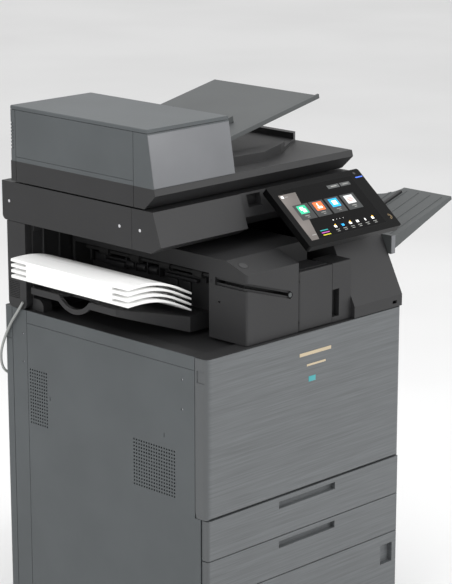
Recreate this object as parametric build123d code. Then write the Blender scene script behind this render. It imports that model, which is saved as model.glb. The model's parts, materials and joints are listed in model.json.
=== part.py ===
"""Office photocopier with an inner finisher, built as an assembly of separate pieces.

Frame: +X to the machine's right as its user faces it, +Y to the back, +Z up.
Origin: on the floor, under the middle of the whole outline, trays and paper included.
The pieces are laid out from the middle of the body and moved to that origin at the end.
All sizes are in millimetres.
"""
import os
from math import acos, atan2, cos, degrees, hypot, pi, radians, sin, tan

from build123d import *

# ---------------------------------------------------------------- overall sizes
WIDTH = 616.0             # body, left side to right side
DEPTH = 642.0             # front cover to rear cover
BASE_UNDERSIDE = 30.0     # floor to the base frame
BASE_HEIGHT = 30.0
CABINET_HEIGHT = 160.0
DRAWER_HEIGHT = 90.0
ENGINE_HEIGHT = 350.0     # front cover's storey
BAY_HEIGHT = 197.0        # exit bay between deck and scanner
SCANNER_HEIGHT = 87.5
LID_GAP = 3.5             # scanner top to document feeder
LID_BASE_HEIGHT = 45.0
FEEDER_HEIGHT = 122.0     # feed housing above the feeder's base

ORIGIN_X = 73.0           # the outline's middle, seen from the body's middle
ORIGIN_Y = -8.0

# ---------------------------------------------------------------- walls and clearances
WALL = 3.0                # outer covers
SEAM = 1.5                # gap between two covers
SHEET = 2.0               # chassis plates
RIB_REACH = 5.0           # from a side cover's inner face to the chassis
RUN = 0.05                # radial running clearance of pins and shafts
MOVE = 0.5                # gap between moving faces that stay parallel
GROOVE = 1.2              # width of a moulded seam line
GROOVE_DEPTH = 1.2
FRONT_THICK = 18.0        # drawer fronts and cabinet door
WRAP = 36.0               # how far the front cover wraps round to the sides
FRONT_CORNER = 14.0       # radius of the front cover's vertical corners
REAR_CORNER = 10.0
FRAME_SETBACK = 31.0      # chassis behind the front face
REAR_SETBACK = 12.0       # chassis before the rear face

# ---------------------------------------------------------------- levels and faces
half_w = WIDTH / 2
front = -DEPTH / 2
rear = DEPTH / 2
left = -half_w
right = half_w
base_top = BASE_UNDERSIDE + BASE_HEIGHT
cabinet_top = base_top + CABINET_HEIGHT
lower_top = cabinet_top + DRAWER_HEIGHT
upper_top = lower_top + DRAWER_HEIGHT
deck_top = upper_top + ENGINE_HEIGHT
scanner_bottom = deck_top + BAY_HEIGHT
scanner_top = scanner_bottom + SCANNER_HEIGHT
lid_bottom = scanner_top + LID_GAP
lid_top = lid_bottom + LID_BASE_HEIGHT
feeder_top = lid_top + FEEDER_HEIGHT
frame_x = half_w - WALL - RIB_REACH       # outer face of the side plates
frame_front = front + FRAME_SETBACK
frame_rear = rear - REAR_SETBACK
DECK_THICK = 12.0
deck_bottom = deck_top - DECK_THICK

# ---------------------------------------------------------------- feet
FOOT_R = 30.0
FOOT_PAD = 10.0
FOOT_STEM_R = 6.0
FOOT_NUT_R = 14.0
FOOT_NUT = 8.0
FOOT_BOSS_R = 20.0
FOOT_STEM_IN = 20.0       # stem inside the boss
FOOT_INSET_X = 45.0
FOOT_INSET_FRONT = 70.0
FOOT_INSET_REAR = 55.0

# ---------------------------------------------------------------- side covers
SIDE_SEAM_REAR_Y = 77.0   # seam before the rear face
REAR_WRAP = 27.0          # the rear cover wraps round to the sides
TOP_STRIP = 28.5          # moulded line below the deck
HOLE_R = 2.25             # ventilation holes
HOLE_PITCH = 7.7
GRILLE_1 = (8, 17, 208.0, 555.0)          # columns, rows, centre Y, centre Z
GRILLE_2 = (17, 14, -162.0, 482.0)
SCREW_R = 3.4
SCREW_HEAD = 1.0

# ---------------------------------------------------------------- front cover
COVER_AXIS_IN = 10.0      # hinge axis behind the front face
COVER_AXIS_UP = 15.0      # hinge axis above the storey's floor
COVER_PIN_R = 4.0
COVER_PIN = 11.0
GRIP_TOP = 27.0           # grip recess on the wrap, below the deck
GRIP_HEIGHT = 26.0
GRIP_DEPTH = 1.5

# ---------------------------------------------------------------- drawers
TUB_SIDE = 4.0            # clearance of a tub to the chassis, each side
TUB_WALL = 2.5
TUB_DEPTH = 560.0
TUB_HEIGHT = 62.0
TUB_LIFT = 1.0            # tub above its shelf
FINGER_W = 180.0
FINGER_H = 16.0
FINGER_D = 12.0
LIFT_SHEET = 1.5
LIFT_LEFT = -205.0
LIFT_RIGHT = 262.0
LIFT_HALF_Y = 160.0
LIFT_PIN_R = 3.0
LIFT_SLOT = 42.0
LIFT_SLOT_END = -60.0
GUIDE_W = 34.0
GUIDE_T = 4.0
GUIDE_X = -212.0

# ---------------------------------------------------------------- exit bay and finisher
DECK_RIM = 37.0           # flat rim of the deck round its pocket, left side
DECK_FRONT_RIM = 46.0
DECK_POCKET = 6.0
BAY_WALL_Y = 81.0         # bay rear wall before the rear face
PILLAR_FRONT_Y = 78.0
PILLAR_REAR_Y = 18.0
PILLAR_T = 19.0
PILLAR_CORNER = 14.0
COLUMN_LEFT = 160.0       # column's left face, in from the right side
COLUMN_FOOT = 27.0        # upright part of the column's face
COLUMN_LEAN = 0.5         # run per rise of the slanted face
COLUMN_BACK = 172.0       # column's back face behind the front
CORNER_W = 60.0           # low filler beside the column
CORNER_TOP = 133.0
FIN_LEFT = 130.0          # finisher's left face, in from the left side
FIN_FRONT = 13.0          # finisher's face behind the front cover's
FIN_BLOCK_W = 158.0       # front block with the stapling slot
FIN_BLOCK_D = 111.0
FIN_TOP = 175.0           # above the deck
FIN_EDGE = 22.0           # drop of the sloping top at the front
FIN_SLOPE = 61.0          # length of the sloping top
FIN_DOOR_TOP = 132.0
FIN_DOOR_T = 14.0
FIN_BODY_FRONT = 46.0     # body behind the door
FIN_REAR = 88.0           # finisher's back, before the rear face
MOUTH_DEPTH = 53.0        # exit mouth behind the left face
MOUTH_TOP = 140.0         # above the deck
FIN_WALL = 4.0
FIN_TRAVEL_GAP = 8.0      # finisher's right side to the column filler

# ---------------------------------------------------------------- output tray and paper
TRAY_RISE = 0.14          # slope of the tray, up to the left
TRAY_RIM = 15.0
TRAY_NOSE = 34.0
TRAY_SHEET = 3.0
TRAY_ROOT = 39.0          # tray's top at the mouth, above the deck
PAPER_W = 184.0
PAPER_L = 372.0
PAPER_INSET = 49.0        # every other set is this much shorter at both ends
SET_T = 6.1
SET_COUNT = 7
PAPER_RISE = 42.0         # left end above the right end
PAPER_ARCH = 16.0         # rise of the middle above the straight line between the ends

# ---------------------------------------------------------------- scanner
FASCIA_BACK = 220.0       # seam of the front fascia behind the front face
FASCIA_NOSE = 133.0       # lowest front edge behind the front face
FASCIA_TOP = 157.4
FASCIA_FOOT = 162.7
FASCIA_CHAMFER = 16.0
FASCIA_LEFT_W = 258.0
NECK_BACK = 11.0
NECK_LIFT = 14.0
SCANNER_REAR = 4.0        # scanner before the rear face
SCANNER_CORNER = 12.0
GLASS_X = 432.0
GLASS_Y = 297.0
GLASS_T = 4.0
GLASS_CENTRE_Y = 89.0
RAIL_R = 5.0
CARRIAGE_W = 50.0
MIRROR_W = 40.0

# ---------------------------------------------------------------- operation panel
PANEL_W = 297.0
PANEL_H = 170.5
PANEL_T = 16.0
PANEL_LEFT = 292.6        # panel's left edge from the left side
PANEL_TOP_IN = 116.0      # panel's top edge behind the front face
PANEL_TOP_UP = 102.0      # panel's top edge above the scanner's underside
PANEL_LEAN = 39.3         # degrees from level
PANEL_EDGE = 6.0
SCREEN_W = 221.0
SCREEN_H = 138.0
SCREEN_T = 1.2
PANEL_PIN_R = 5.0
BARREL_R = 11.0
BARREL_BACK = 16.4        # barrel axis behind the panel's back
ARM_W = 90.0

# ---------------------------------------------------------------- document feeder
LID_RIGHT = 3.0           # feeder's base before the right side
LID_FRONT = 182.0         # gap corner behind the front face
LID_CREASE = 149.0
LID_CREASE_UP = 31.0
LID_BROW = 153.0
LID_REAR = 37.0           # feeder's back before the rear face
FEEDER_W = 238.0
FEEDER_LEAN = 0.171       # run per rise of the feeder's front
FEEDER_WALL = 3.0
TOP_COVER = 9.0
HINGE_R = 5.0
HINGE_X = 210.0
HINGE_W = 40.0
HINGE_Y = 19.0            # axis before the rear face
HINGE_UP = 15.5           # axis above the scanner's top
DOC_RISE = 12.0           # degrees, up to the right
DOC_T = 6.0

# ---------------------------------------------------------------- right exit tray
EXIT_RISE = 17.4          # degrees
EXIT_LENGTH = 228.0
EXIT_ROOT = 28.0
EXIT_TIP = 8.0
EXIT_FRONT = 36.0         # tray's front edge behind the front face
EXIT_WIDTH = 330.0
EXIT_UP = 117.0           # root's underside above the deck
EXIT_SHEET = 3.0

# ---------------------------------------------------------------- right door and bypass tray
DOOR_FRONT = 121.0
DOOR_REAR = 71.0
DOOR_FLOOR = 12.0
DOOR_HEIGHT = 300.0
DOOR_T = 20.0
DOOR_PIN_R = 4.0
BYPASS_T = 10.0
BYPASS_W = 320.0
BYPASS_H = 230.0
BYPASS_PIN_R = 3.0

# ---------------------------------------------------------------- cable
CABLE_R = 3.0
BEND_SHARE = 0.45


# ================================================================ helpers
def block(x, y, z):
    """Box between the two values of each pair."""
    size = (x[1] - x[0], y[1] - y[0], z[1] - z[0])
    middle = ((x[0] + x[1]) / 2, (y[0] + y[1]) / 2, (z[0] + z[1]) / 2)
    return Pos(*middle) * Box(*size)


def rod_x(radius, x, y, z):
    """Cylinder along X between the pair x, at y and z."""
    return Pos((x[0] + x[1]) / 2, y, z) * Rot(0, 90, 0) * Cylinder(radius, x[1] - x[0])


def rod_y(radius, y, x, z):
    """Cylinder along Y between the pair y, at x and z."""
    return Pos(x, (y[0] + y[1]) / 2, z) * Rot(90, 0, 0) * Cylinder(radius, y[1] - y[0])


def rod_z(radius, x, y, z):
    """Cylinder along Z between the pair z, at x and y."""
    return Pos(x, y, (z[0] + z[1]) / 2) * Cylinder(radius, z[1] - z[0])


def prism_x(points, x):
    """Outline of (Y, Z) points, extruded along X between the pair x."""
    plane = Plane(origin=(x[0], 0, 0), x_dir=(0, 1, 0), z_dir=(1, 0, 0))
    return extrude(plane * Polygon(*points, align=None), amount=x[1] - x[0], dir=(1, 0, 0))


def prism_y(points, y):
    """Outline of (X, Z) points, extruded along Y between the pair y."""
    plane = Plane(origin=(0, y[1], 0), x_dir=(1, 0, 0), z_dir=(0, -1, 0))
    return extrude(plane * Polygon(*points, align=None), amount=y[1] - y[0], dir=(0, -1, 0))


def prism_z(points, z):
    """Outline of (X, Y) points, extruded along Z between the pair z."""
    plane = Plane(origin=(0, 0, z[0]))
    return extrude(plane * Polygon(*points, align=None), amount=z[1] - z[0], dir=(0, 0, 1))


def tray_box(x, y, z, wall, floor):
    """Box that is open at the top."""
    inner = block((x[0] + wall, x[1] - wall), (y[0] + wall, y[1] - wall), (z[0] + floor, z[1] + 1))
    return block(x, y, z) - inner


def upright_edges(shape, corner_x, corner_y, reach=1.0):
    """Vertical edges of a shape near one corner in plan."""
    found = []
    for edge in shape.edges().filter_by(Axis.Z):
        middle = edge.center()
        if abs(middle.X - corner_x) < reach and abs(middle.Y - corner_y) < reach:
            found.append(edge)
    return found


def group(shapes):
    """Several separate solids as one node."""
    solids = []
    for shape in shapes:
        solids.extend(shape.solids())
    return Compound(children=solids)


parts = {}


# ================================================================ base and chassis
def foot_places():
    """Plan positions of the four levelling feet."""
    for x in (left + FOOT_INSET_X, right - FOOT_INSET_X):
        for y in (front + FOOT_INSET_FRONT, rear - FOOT_INSET_REAR):
            yield x, y


def base_frame():
    """Upturned pan with a boss over each foot."""
    x = (-frame_x, frame_x)
    y = (frame_front, frame_rear)
    pan = block(x, y, (BASE_UNDERSIDE, base_top))
    pan -= block((x[0] + 4, x[1] - 4), (y[0] + 4, y[1] - 4), (BASE_UNDERSIDE - 1, base_top - 4))
    for fx, fy in foot_places():
        pan += rod_z(FOOT_BOSS_R, fx, fy, (BASE_UNDERSIDE, base_top))
    for fx, fy in foot_places():
        pan -= rod_z(FOOT_STEM_R + RUN, fx, fy, (BASE_UNDERSIDE - 1, BASE_UNDERSIDE + FOOT_STEM_IN + 1))
    return pan


def levelling_feet():
    """Pads on threaded stems, each with its lock nut."""
    feet = []
    for fx, fy in foot_places():
        foot = rod_z(FOOT_R, fx, fy, (0, FOOT_PAD))
        foot += rod_z(FOOT_STEM_R, fx, fy, (FOOT_PAD, BASE_UNDERSIDE + FOOT_STEM_IN))
        nut = extrude(RegularPolygon(FOOT_NUT_R, 6), amount=FOOT_NUT)
        foot += Pos(fx, fy, BASE_UNDERSIDE - FOOT_NUT) * nut
        feet.append(foot)
    return group(feet)


cover_axis_y = front + COVER_AXIS_IN
cover_axis_z = upper_top + COVER_AXIS_UP
door_z = (upper_top + DOOR_FLOOR, upper_top + DOOR_FLOOR + DOOR_HEIGHT)
door_y = (front + DOOR_FRONT, rear - DOOR_REAR)
door_axis_x = right - WALL - DOOR_PIN_R - 2
door_axis_y = door_y[1] - DOOR_PIN_R - 2


CABINET_AXIS_IN = 9.0     # hinge axis from the door's left edge and from its face
CABINET_PIN_R = 2.5
cabinet_axis = (left + 2 + CABINET_AXIS_IN, front + CABINET_AXIS_IN)
cabinet_lug_z = ((base_top + 24, base_top + 29), (cabinet_top - 29, cabinet_top - 24))
LUG_R = 5.0               # hinge lugs of the small doors


def hinge_lug(axis, back, z, pin):
    """Lug that reaches forward from the face at `back` to a vertical hinge axis."""
    lug = block((axis[0] - LUG_R + 1, axis[0] + LUG_R - 1), (axis[1], back), z)
    lug += rod_z(LUG_R, *axis, z)
    return lug - rod_z(pin + RUN, *axis, (z[0] - 1, z[1] + 1))


def cut_for_lug(door, axis, z, pin):
    """Door with a notch round a hinge lug and its pin left standing in the notch."""
    notch_z = (z[0] - MOVE, z[1] + MOVE)
    notch = block((axis[0] - 20, axis[0] + LUG_R + 2), (axis[1] - LUG_R - MOVE, axis[1] + 20), notch_z)
    return door - notch + rod_z(pin, *axis, (notch_z[0] - 1, notch_z[1] + 1))


def chassis():
    """Side plates, three shelves and the rear plate, all separate sheets."""
    plates = []
    for side in (-1, 1):
        x = sorted((side * frame_x, side * (frame_x - SHEET)))
        plate = block(x, (frame_front, frame_rear), (base_top, deck_bottom))
        tab_r = COVER_PIN_R + 1.0
        plate += block(x, (cover_axis_y, frame_front), (cover_axis_z - tab_r, cover_axis_z + tab_r))
        plate += rod_x(tab_r, x, cover_axis_y, cover_axis_z)
        plate -= rod_x(COVER_PIN_R + RUN, (x[0] - 1, x[1] + 1), cover_axis_y, cover_axis_z)
        if side > 0:
            plate -= block((x[0] - 1, x[1] + 1), (door_y[0] - 2, door_y[1] + 5),
                           (door_z[0] - 2, door_z[1] + 2))
            for z in ((door_z[0] - 6, door_z[0] - 1), (door_z[1] + 1, door_z[1] + 6)):
                plate += block((frame_x - 6, frame_x + 4), (door_axis_y - 7, door_axis_y + 10), z)
                plate -= rod_z(DOOR_PIN_R + RUN, door_axis_x, door_axis_y, (z[0] - 1, z[1] + 1))
        else:
            for z in cabinet_lug_z:
                plate += hinge_lug(cabinet_axis, frame_front + 2, z, CABINET_PIN_R)
        plates.append(plate)
    inner = frame_x - SHEET
    for top in (cabinet_top, lower_top, upper_top):
        plates.append(block((-inner, inner), (frame_front, frame_rear - SHEET), (top - SHEET, top)))
    plates.append(block((-inner, inner), (frame_rear - SHEET, frame_rear), (base_top, deck_bottom)))
    return group(plates)


parts["base_frame"] = base_frame()
parts["levelling_feet"] = levelling_feet()
parts["chassis"] = chassis()


# ================================================================ outer covers
side_seam_y = rear - SIDE_SEAM_REAR_Y
cover_bottom = base_top + 2
side_front_low = front + FRONT_THICK + 2
side_front_high = front + WRAP + SEAM / 2
side_rear = rear - REAR_WRAP - SEAM


def side_outline():
    """Side cover's outline: it steps back behind the front cover's wrap."""
    return [(side_front_low, cover_bottom), (side_rear, cover_bottom), (side_rear, deck_top),
            (side_front_high, deck_top), (side_front_high, upper_top), (side_front_low, upper_top)]


def hole_grid(columns, rows, centre_y, centre_z, x):
    """Cutter: a field of ventilation holes through a side cover."""
    plane = Plane(origin=(x[0], centre_y, centre_z), x_dir=(0, 1, 0), z_dir=(1, 0, 0))
    places = GridLocations(HOLE_PITCH, HOLE_PITCH, columns, rows)
    dots = Sketch() + [place * Circle(HOLE_R) for place in places]
    return extrude(plane * dots, amount=x[1] - x[0])


def side_ribs(x):
    """Inner ribs that stand on the chassis plate."""
    ribs = []
    for y in (side_front_high + 12, -40.0, side_seam_y - 25, side_rear - 10):
        ribs.append(block(x, (y - 2, y + 2), (cover_bottom + 20, deck_bottom - 10)))
    return ribs


def left_side_cover():
    """Left cover with its moulded lines, two hole fields and screw holes."""
    x = (left, left + WALL)
    cover = prism_x(side_outline(), x)
    for rib in side_ribs((left + WALL, -frame_x)):
        cover += rib
    cut = (left - 1, left + GROOVE_DEPTH)
    strip_z = deck_top - TOP_STRIP
    cover -= block(cut, (side_front_high - 1, side_seam_y), (strip_z - GROOVE / 2, strip_z + GROOVE / 2))
    cover -= block(cut, (side_seam_y - GROOVE / 2, side_seam_y + GROOVE / 2), (cover_bottom - 1, deck_top + 1))
    through = (left - 1, left + WALL + 1)
    for grille in (GRILLE_1, GRILLE_2):
        cover -= hole_grid(*grille, through)
    for y, z in ((170.0, 562.0), (-193.0, 562.0)):
        cover -= block(through, (y - 0.8, y + 0.8), (z - 5, z + 5))
    for y in (side_seam_y + 13.5, side_front_high + 36.5):
        for z in (deck_top - 55.5, deck_top - 120):
            cover -= rod_x(HOLE_R, (left - 1, left + WALL - 0.8), y, z)
    return cover


def right_side_cover():
    """Right cover with a window for the transport door."""
    x = (right - WALL, right)
    cover = prism_x(side_outline(), x)
    ribs = side_ribs((frame_x, right - WALL))
    cover += ribs[0]
    cover += ribs[-1]
    cover -= block((x[0] - 9, x[1] + 1), (door_y[0] - SEAM, door_y[1] + 2 * SEAM),
                   (door_z[0] - SEAM, door_z[1] + SEAM))
    return cover


def rear_cover():
    """Rear cover, wrapped round both rear corners."""
    z = (cover_bottom, deck_top)
    shell = block((left, right), (rear - REAR_WRAP, rear), z)
    shell = fillet(upright_edges(shell, left, rear) + upright_edges(shell, right, rear), REAR_CORNER)
    shell -= block((left + WALL, right - WALL), (rear - REAR_WRAP - 1, rear - WALL), (z[0] - 1, z[1] + 1))
    split = deck_top - 73
    grooves = block((left - 1, right + 1), (rear - REAR_WRAP - 1, rear + 1), (split - 0.6, split + 0.6))
    grooves -= block((left + 1, right - 1), (rear - REAR_WRAP - 2, rear - 1), (split - 2, split + 2))
    shell -= grooves
    for column in range(12):
        for row in range(6):
            x = 90 + column * 12.0
            slot_z = 520 + row * 18.0
            shell -= block((x, x + 4), (rear - WALL - 1, rear + 1), (slot_z, slot_z + 12))
    for x in (-200.0, 200.0):
        shell += block((x - 6, x + 6), (frame_rear, rear - WALL), (cover_bottom + 30, deck_bottom - 20))
    return shell


parts["left_side_cover"] = left_side_cover()
parts["right_side_cover"] = right_side_cover()
parts["rear_cover"] = rear_cover()


# ================================================================ deck, bay walls, pillar, column
column_left = right - COLUMN_LEFT
corner_left = column_left - CORNER_W
bay_wall_y = rear - BAY_WALL_Y
deck_left = left + WALL + MOVE
pocket_x = (left + DECK_RIM + WALL, corner_left - 2)
pocket_y = (front + DECK_FRONT_RIM, bay_wall_y - 4)


def bay_deck():
    """Deck plate with a shallow pocket that the finisher's rails stand in."""
    y = (front + WALL + MOVE, rear - WALL - MOVE)
    deck = block((deck_left, -deck_left), y, (deck_bottom, deck_top))
    corners = upright_edges(deck, deck_left, y[0]) + upright_edges(deck, -deck_left, y[0])
    deck = fillet(corners, FRONT_CORNER - WALL)
    deck -= block(pocket_x, pocket_y, (deck_top - DECK_POCKET, deck_top + 1))
    foot = block((deck_left + 12, deck_left + 38), (bay_wall_y - 36, bay_wall_y - 0.5),
                 (deck_top, deck_top + 27))
    foot = fillet(foot.edges().filter_by(Axis.X).sort_by(Axis.Z)[-2:].sort_by(Axis.Y)[:1], 18)
    return deck + foot


def left_rear_pillar():
    """Louvred cover at the bay's left rear corner."""
    y = (rear - PILLAR_FRONT_Y, rear - PILLAR_REAR_Y)
    z = (deck_top + 1, scanner_bottom - 1)
    shell = block((left, left + PILLAR_T), y, z)
    low = shell.edges().filter_by(Axis.X).sort_by(Axis.Z)[:2]
    shell = fillet(low, PILLAR_CORNER)
    shell -= block((left + WALL, left + PILLAR_T + 1), (y[0] + WALL, y[1] - WALL),
                   (z[0] + PILLAR_CORNER, z[1] - WALL))
    for row in range(10):
        slot_z = deck_top + 24 + row * 4
        shell -= block((left - 1, left + 2), (y[0] + 21, y[0] + 55), (slot_z, slot_z + 1.8))
    return shell


def bay_walls():
    """Rear duct and right wall, which carry the scanner over the bay."""
    x = (left + PILLAR_T, right - WALL)
    y = (bay_wall_y, rear - PILLAR_REAR_Y)
    z = (deck_top, scanner_bottom)
    duct = block(x, y, z)
    duct -= block((x[0] + WALL, x[1] - WALL), (y[0] + WALL, y[1] - WALL), (z[0] - 1, z[1] - WALL))
    wall_y = (front + COLUMN_BACK, bay_wall_y)
    wall = block((right - 12, right), wall_y, (z[0] + 1, z[1]))
    return group([duct, wall])


def column_outline(inset):
    """Column's side outline, optionally inset for its inner face."""
    lean_top = front + 1 + (scanner_bottom - deck_top - COLUMN_FOOT) * COLUMN_LEAN
    return [(front + 1 + inset, deck_top + 1), (front + 1 + inset, deck_top + COLUMN_FOOT),
            (lean_top + inset, scanner_bottom - inset), (front + COLUMN_BACK, scanner_bottom - inset),
            (front + COLUMN_BACK, deck_top + 1)]


def front_right_column():
    """Slanted column under the operation panel, with the low filler and its finger pocket."""
    column = prism_x(column_outline(0), (column_left, right))
    hollow = prism_x(column_outline(6), (column_left + 5, right - 5))
    column -= hollow & block((left, right), (front, front + COLUMN_BACK - 6), (deck_top + 8, scanner_bottom))
    column -= block((right - 32, right - 18), (front - 1, front + 9), (deck_top + 9, deck_top + 16))
    filler_y = (front + FIN_FRONT, front + FIN_FRONT + 60)
    filler = block((corner_left, column_left), filler_y, (deck_top + 1, deck_top + CORNER_TOP))
    filler = fillet(filler.edges().filter_by(Axis.X).sort_by(Axis.Z)[-2:].sort_by(Axis.Y)[:1], 4)
    pocket = block((corner_left - 1, corner_left + 22), (filler_y[0] - 1, filler_y[0] + 16),
                   (deck_top + 13, deck_top + 74))
    filler -= pocket
    return column + filler


parts["bay_deck"] = bay_deck()
parts["left_rear_pillar"] = left_rear_pillar()
parts["bay_walls"] = bay_walls()
parts["front_right_column"] = front_right_column()


# ================================================================ finisher
fin_left = left + FIN_LEFT
fin_front = front + FIN_FRONT
fin_block_right = fin_left + FIN_BLOCK_W
fin_block_rear = fin_front + FIN_BLOCK_D
fin_right = corner_left - FIN_TRAVEL_GAP
fin_rear = rear - FIN_REAR
fin_floor = deck_top + 1
fin_top = deck_top + FIN_TOP
fin_body_y = (fin_front + FIN_BODY_FRONT, fin_rear)
mouth_x = fin_left + MOUTH_DEPTH
mouth_z = (deck_top + 6, deck_top + MOUTH_TOP)
fin_door_x = (fin_block_right + 1, corner_left - 1)
fin_door_top = deck_top + FIN_DOOR_TOP
FINISHER_AXIS_IN = 7.0    # hinge axis from the door's left edge and from its face
FINISHER_PIN_R = 2.5
finisher_axis = (fin_door_x[0] + FINISHER_AXIS_IN, fin_front + FINISHER_AXIS_IN)
finisher_lug_z = ((deck_top + 18, deck_top + 23), (deck_top + 108, deck_top + 113))
SLOT_DROP = 0.29          # the stapling slot falls to the right along the front
SLOT_Z = 126.0            # its height at the left face, above the deck
SLOT_OPEN = 7.0
SLOT_LIP = 17.0
ROLLER_SHAFT_R = 4.0
exit_roller_x = mouth_x - 16
exit_roller_z = deck_top + 122
KEY_R = 10.0
KEY_SLOPE = atan2(FIN_EDGE, FIN_SLOPE)
key_x = fin_left + 23
key_y = fin_front + 33
key_z = fin_top - FIN_EDGE + 33 * tan(KEY_SLOPE)
STAPLER_RAIL_R = 5.0
stapler_x = fin_block_right + 30
stapler_z = deck_top + 60


def sloping_top():
    """Cutter that slopes the front block's top down to the front."""
    return prism_x([(fin_front - 1, fin_top - FIN_EDGE - tan(KEY_SLOPE)), (fin_front + FIN_SLOPE, fin_top),
                    (fin_front + FIN_SLOPE, fin_top + 5), (fin_front - 1, fin_top + 5)],
                   (fin_left - 5, fin_block_right + 5))


def staple_slot(opening, reach):
    """Cutter: a slot round the block's left front corner, falling to the right."""
    right_end = fin_block_right - 24
    plan = prism_z([(fin_left - 5, fin_block_rear - 18), (fin_left + reach, fin_block_rear - 18),
                    (fin_left + reach, fin_front + reach + 8), (right_end, fin_front + reach),
                    (right_end, fin_front - 5), (fin_left - 5, fin_front - 5)], (deck_top + 60, fin_top))
    z = deck_top + SLOT_Z
    slab = prism_y([(fin_left - 5, z - opening / 2), (fin_left + 6, z - opening / 2),
                    (right_end, z - opening / 2 - SLOT_DROP * (right_end - fin_left)),
                    (right_end, z + opening / 2 - SLOT_DROP * (right_end - fin_left)),
                    (fin_left + 6, z + opening / 2), (fin_left - 5, z + opening / 2)],
                   (fin_front - 6, fin_block_rear))
    return plan & slab


def finisher_housing():
    """Finisher's body, front block and the lintel over the exit mouth, as one moulding."""
    body = block((mouth_x, fin_right), fin_body_y, (fin_floor, fin_top))
    body -= block((mouth_x + FIN_WALL, fin_right - FIN_WALL),
                  (fin_block_rear + FIN_WALL, fin_body_y[1] - FIN_WALL), (fin_floor + FIN_WALL, fin_top - FIN_WALL))
    front_block = block((fin_left, fin_block_right), (fin_front, fin_block_rear), (fin_floor, fin_top))
    front_block = fillet(upright_edges(front_block, fin_left, fin_front), 5)
    lintel = block((fin_left, mouth_x), (fin_block_rear, fin_rear), (mouth_z[1], fin_top))
    rear_cheek = block((fin_left, mouth_x), (fin_rear - 8, fin_rear), (deck_top + 30, mouth_z[1]))
    housing = body + front_block + lintel + rear_cheek
    housing -= sloping_top()
    housing -= block((fin_block_right, fin_right + 1), (fin_front, fin_body_y[0] + 22), (fin_door_top, fin_top + 1))
    housing += block((fin_block_right, corner_left - 1), (fin_front + FIN_DOOR_T + 1, fin_body_y[0]),
                     (fin_floor, fin_door_top))
    for z in finisher_lug_z:
        housing += hinge_lug(finisher_axis, fin_front + FIN_DOOR_T + 3, z, FINISHER_PIN_R)
    housing -= staple_slot(SLOT_OPEN, 30)
    housing -= staple_slot(SLOT_LIP, 5)
    housing -= rod_y(6, (fin_front - 1, fin_front + 5), fin_block_right - 24,
                     deck_top + SLOT_Z - SLOT_DROP * (FIN_BLOCK_W - 24))
    housing -= block((mouth_x - 1, mouth_x + FIN_WALL + 1), (fin_block_rear + 8, fin_rear - 16),
                     (exit_roller_z - 14, exit_roller_z + 14))
    for y in (fin_block_rear, fin_rear - 8):
        housing -= rod_y(ROLLER_SHAFT_R + RUN, (y - 6, y + 6), exit_roller_x, exit_roller_z)
    rail_y = (fin_block_rear, fin_rear - FIN_WALL)
    housing += rod_y(STAPLER_RAIL_R, rail_y, stapler_x, stapler_z)
    key_cut = Pos(key_x, key_y, key_z) * Rot(degrees(KEY_SLOPE), 0, 0) * Cylinder(KEY_R + MOVE, 12)
    housing -= key_cut
    housing -= rod_x(4, (fin_left - 1, fin_left + 0.8), fin_block_rear - 9, deck_top + 125)
    housing -= block((fin_left - 1, fin_left + 4), (fin_block_rear - 34, fin_block_rear - 27),
                     (deck_top + 81, deck_top + 84))
    rail_z = (deck_top - DECK_POCKET + MOVE, fin_floor)
    for y in (pocket_y[0] + 12, pocket_y[1] - 30):
        housing += block((mouth_x + 2, fin_right - 10), (y, y + 12), rail_z)
    return housing


def finisher_cover():
    """Front door of the finisher, hinged on its left edge."""
    y = (fin_front, fin_front + FIN_DOOR_T)
    door = block(fin_door_x, y, (fin_floor + 1, fin_door_top))
    top_front = door.edges().filter_by(Axis.X).sort_by(Axis.Z)[-2:].sort_by(Axis.Y)[:1]
    door = fillet(top_front, 4)
    door = fillet(upright_edges(door, fin_door_x[0], y[0]), FINISHER_AXIS_IN)
    door = fillet(upright_edges(door, fin_door_x[0], y[1]), FINISHER_AXIS_IN - 1)
    door -= block((fin_door_x[0] + 17, fin_door_x[1] - 8), (y[0] + 4, y[1] + 1), (fin_floor + 9, fin_door_top - 8))
    for z in finisher_lug_z:
        door = cut_for_lug(door, finisher_axis, z, FINISHER_PIN_R)
    return door


def exit_roller():
    """Rubber rollers on the exit shaft."""
    y = (fin_block_rear - 5, fin_rear - 3)
    shaft = rod_y(ROLLER_SHAFT_R, y, exit_roller_x, exit_roller_z)
    for share in (0.16, 0.39, 0.61, 0.84):
        middle = y[0] + share * (y[1] - y[0])
        shaft += rod_y(10, (middle - 14, middle + 14), exit_roller_x, exit_roller_z)
    return shaft


def stapler_unit():
    """Stapler on its rail, with an open throat."""
    y = (fin_block_rear + 60, fin_block_rear + 130)
    unit = block((stapler_x - 30, stapler_x + 40), y, (stapler_z - 22, stapler_z + 60))
    unit -= block((stapler_x - 31, stapler_x + 12), (y[0] - 1, y[1] + 1), (stapler_z + 24, stapler_z + 34))
    unit -= rod_y(STAPLER_RAIL_R + RUN, (y[0] - 1, y[1] + 1), stapler_x, stapler_z)
    return unit


def staple_key():
    """Round key on the finisher's sloping top."""
    return Pos(key_x, key_y, key_z) * Rot(degrees(KEY_SLOPE), 0, 0) * Pos(0, 0, -1.6) * Cylinder(KEY_R, 4.4)


tray_left = left + 4
tray_root_z = deck_top + TRAY_ROOT
tray_root_x = fin_left - 14
tray_y = (fin_block_rear + 42, bay_wall_y - 9)
tray_nose = (tray_root_x, tray_y[0])
tray_turn = (tray_left, tray_y[0] + (tray_root_x - tray_left))


def tray_z(x):
    """Height of the tray's top at x: level under the mouth, then rising to the left."""
    return tray_root_z + TRAY_RISE * max(tray_root_x - x, 0)


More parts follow.
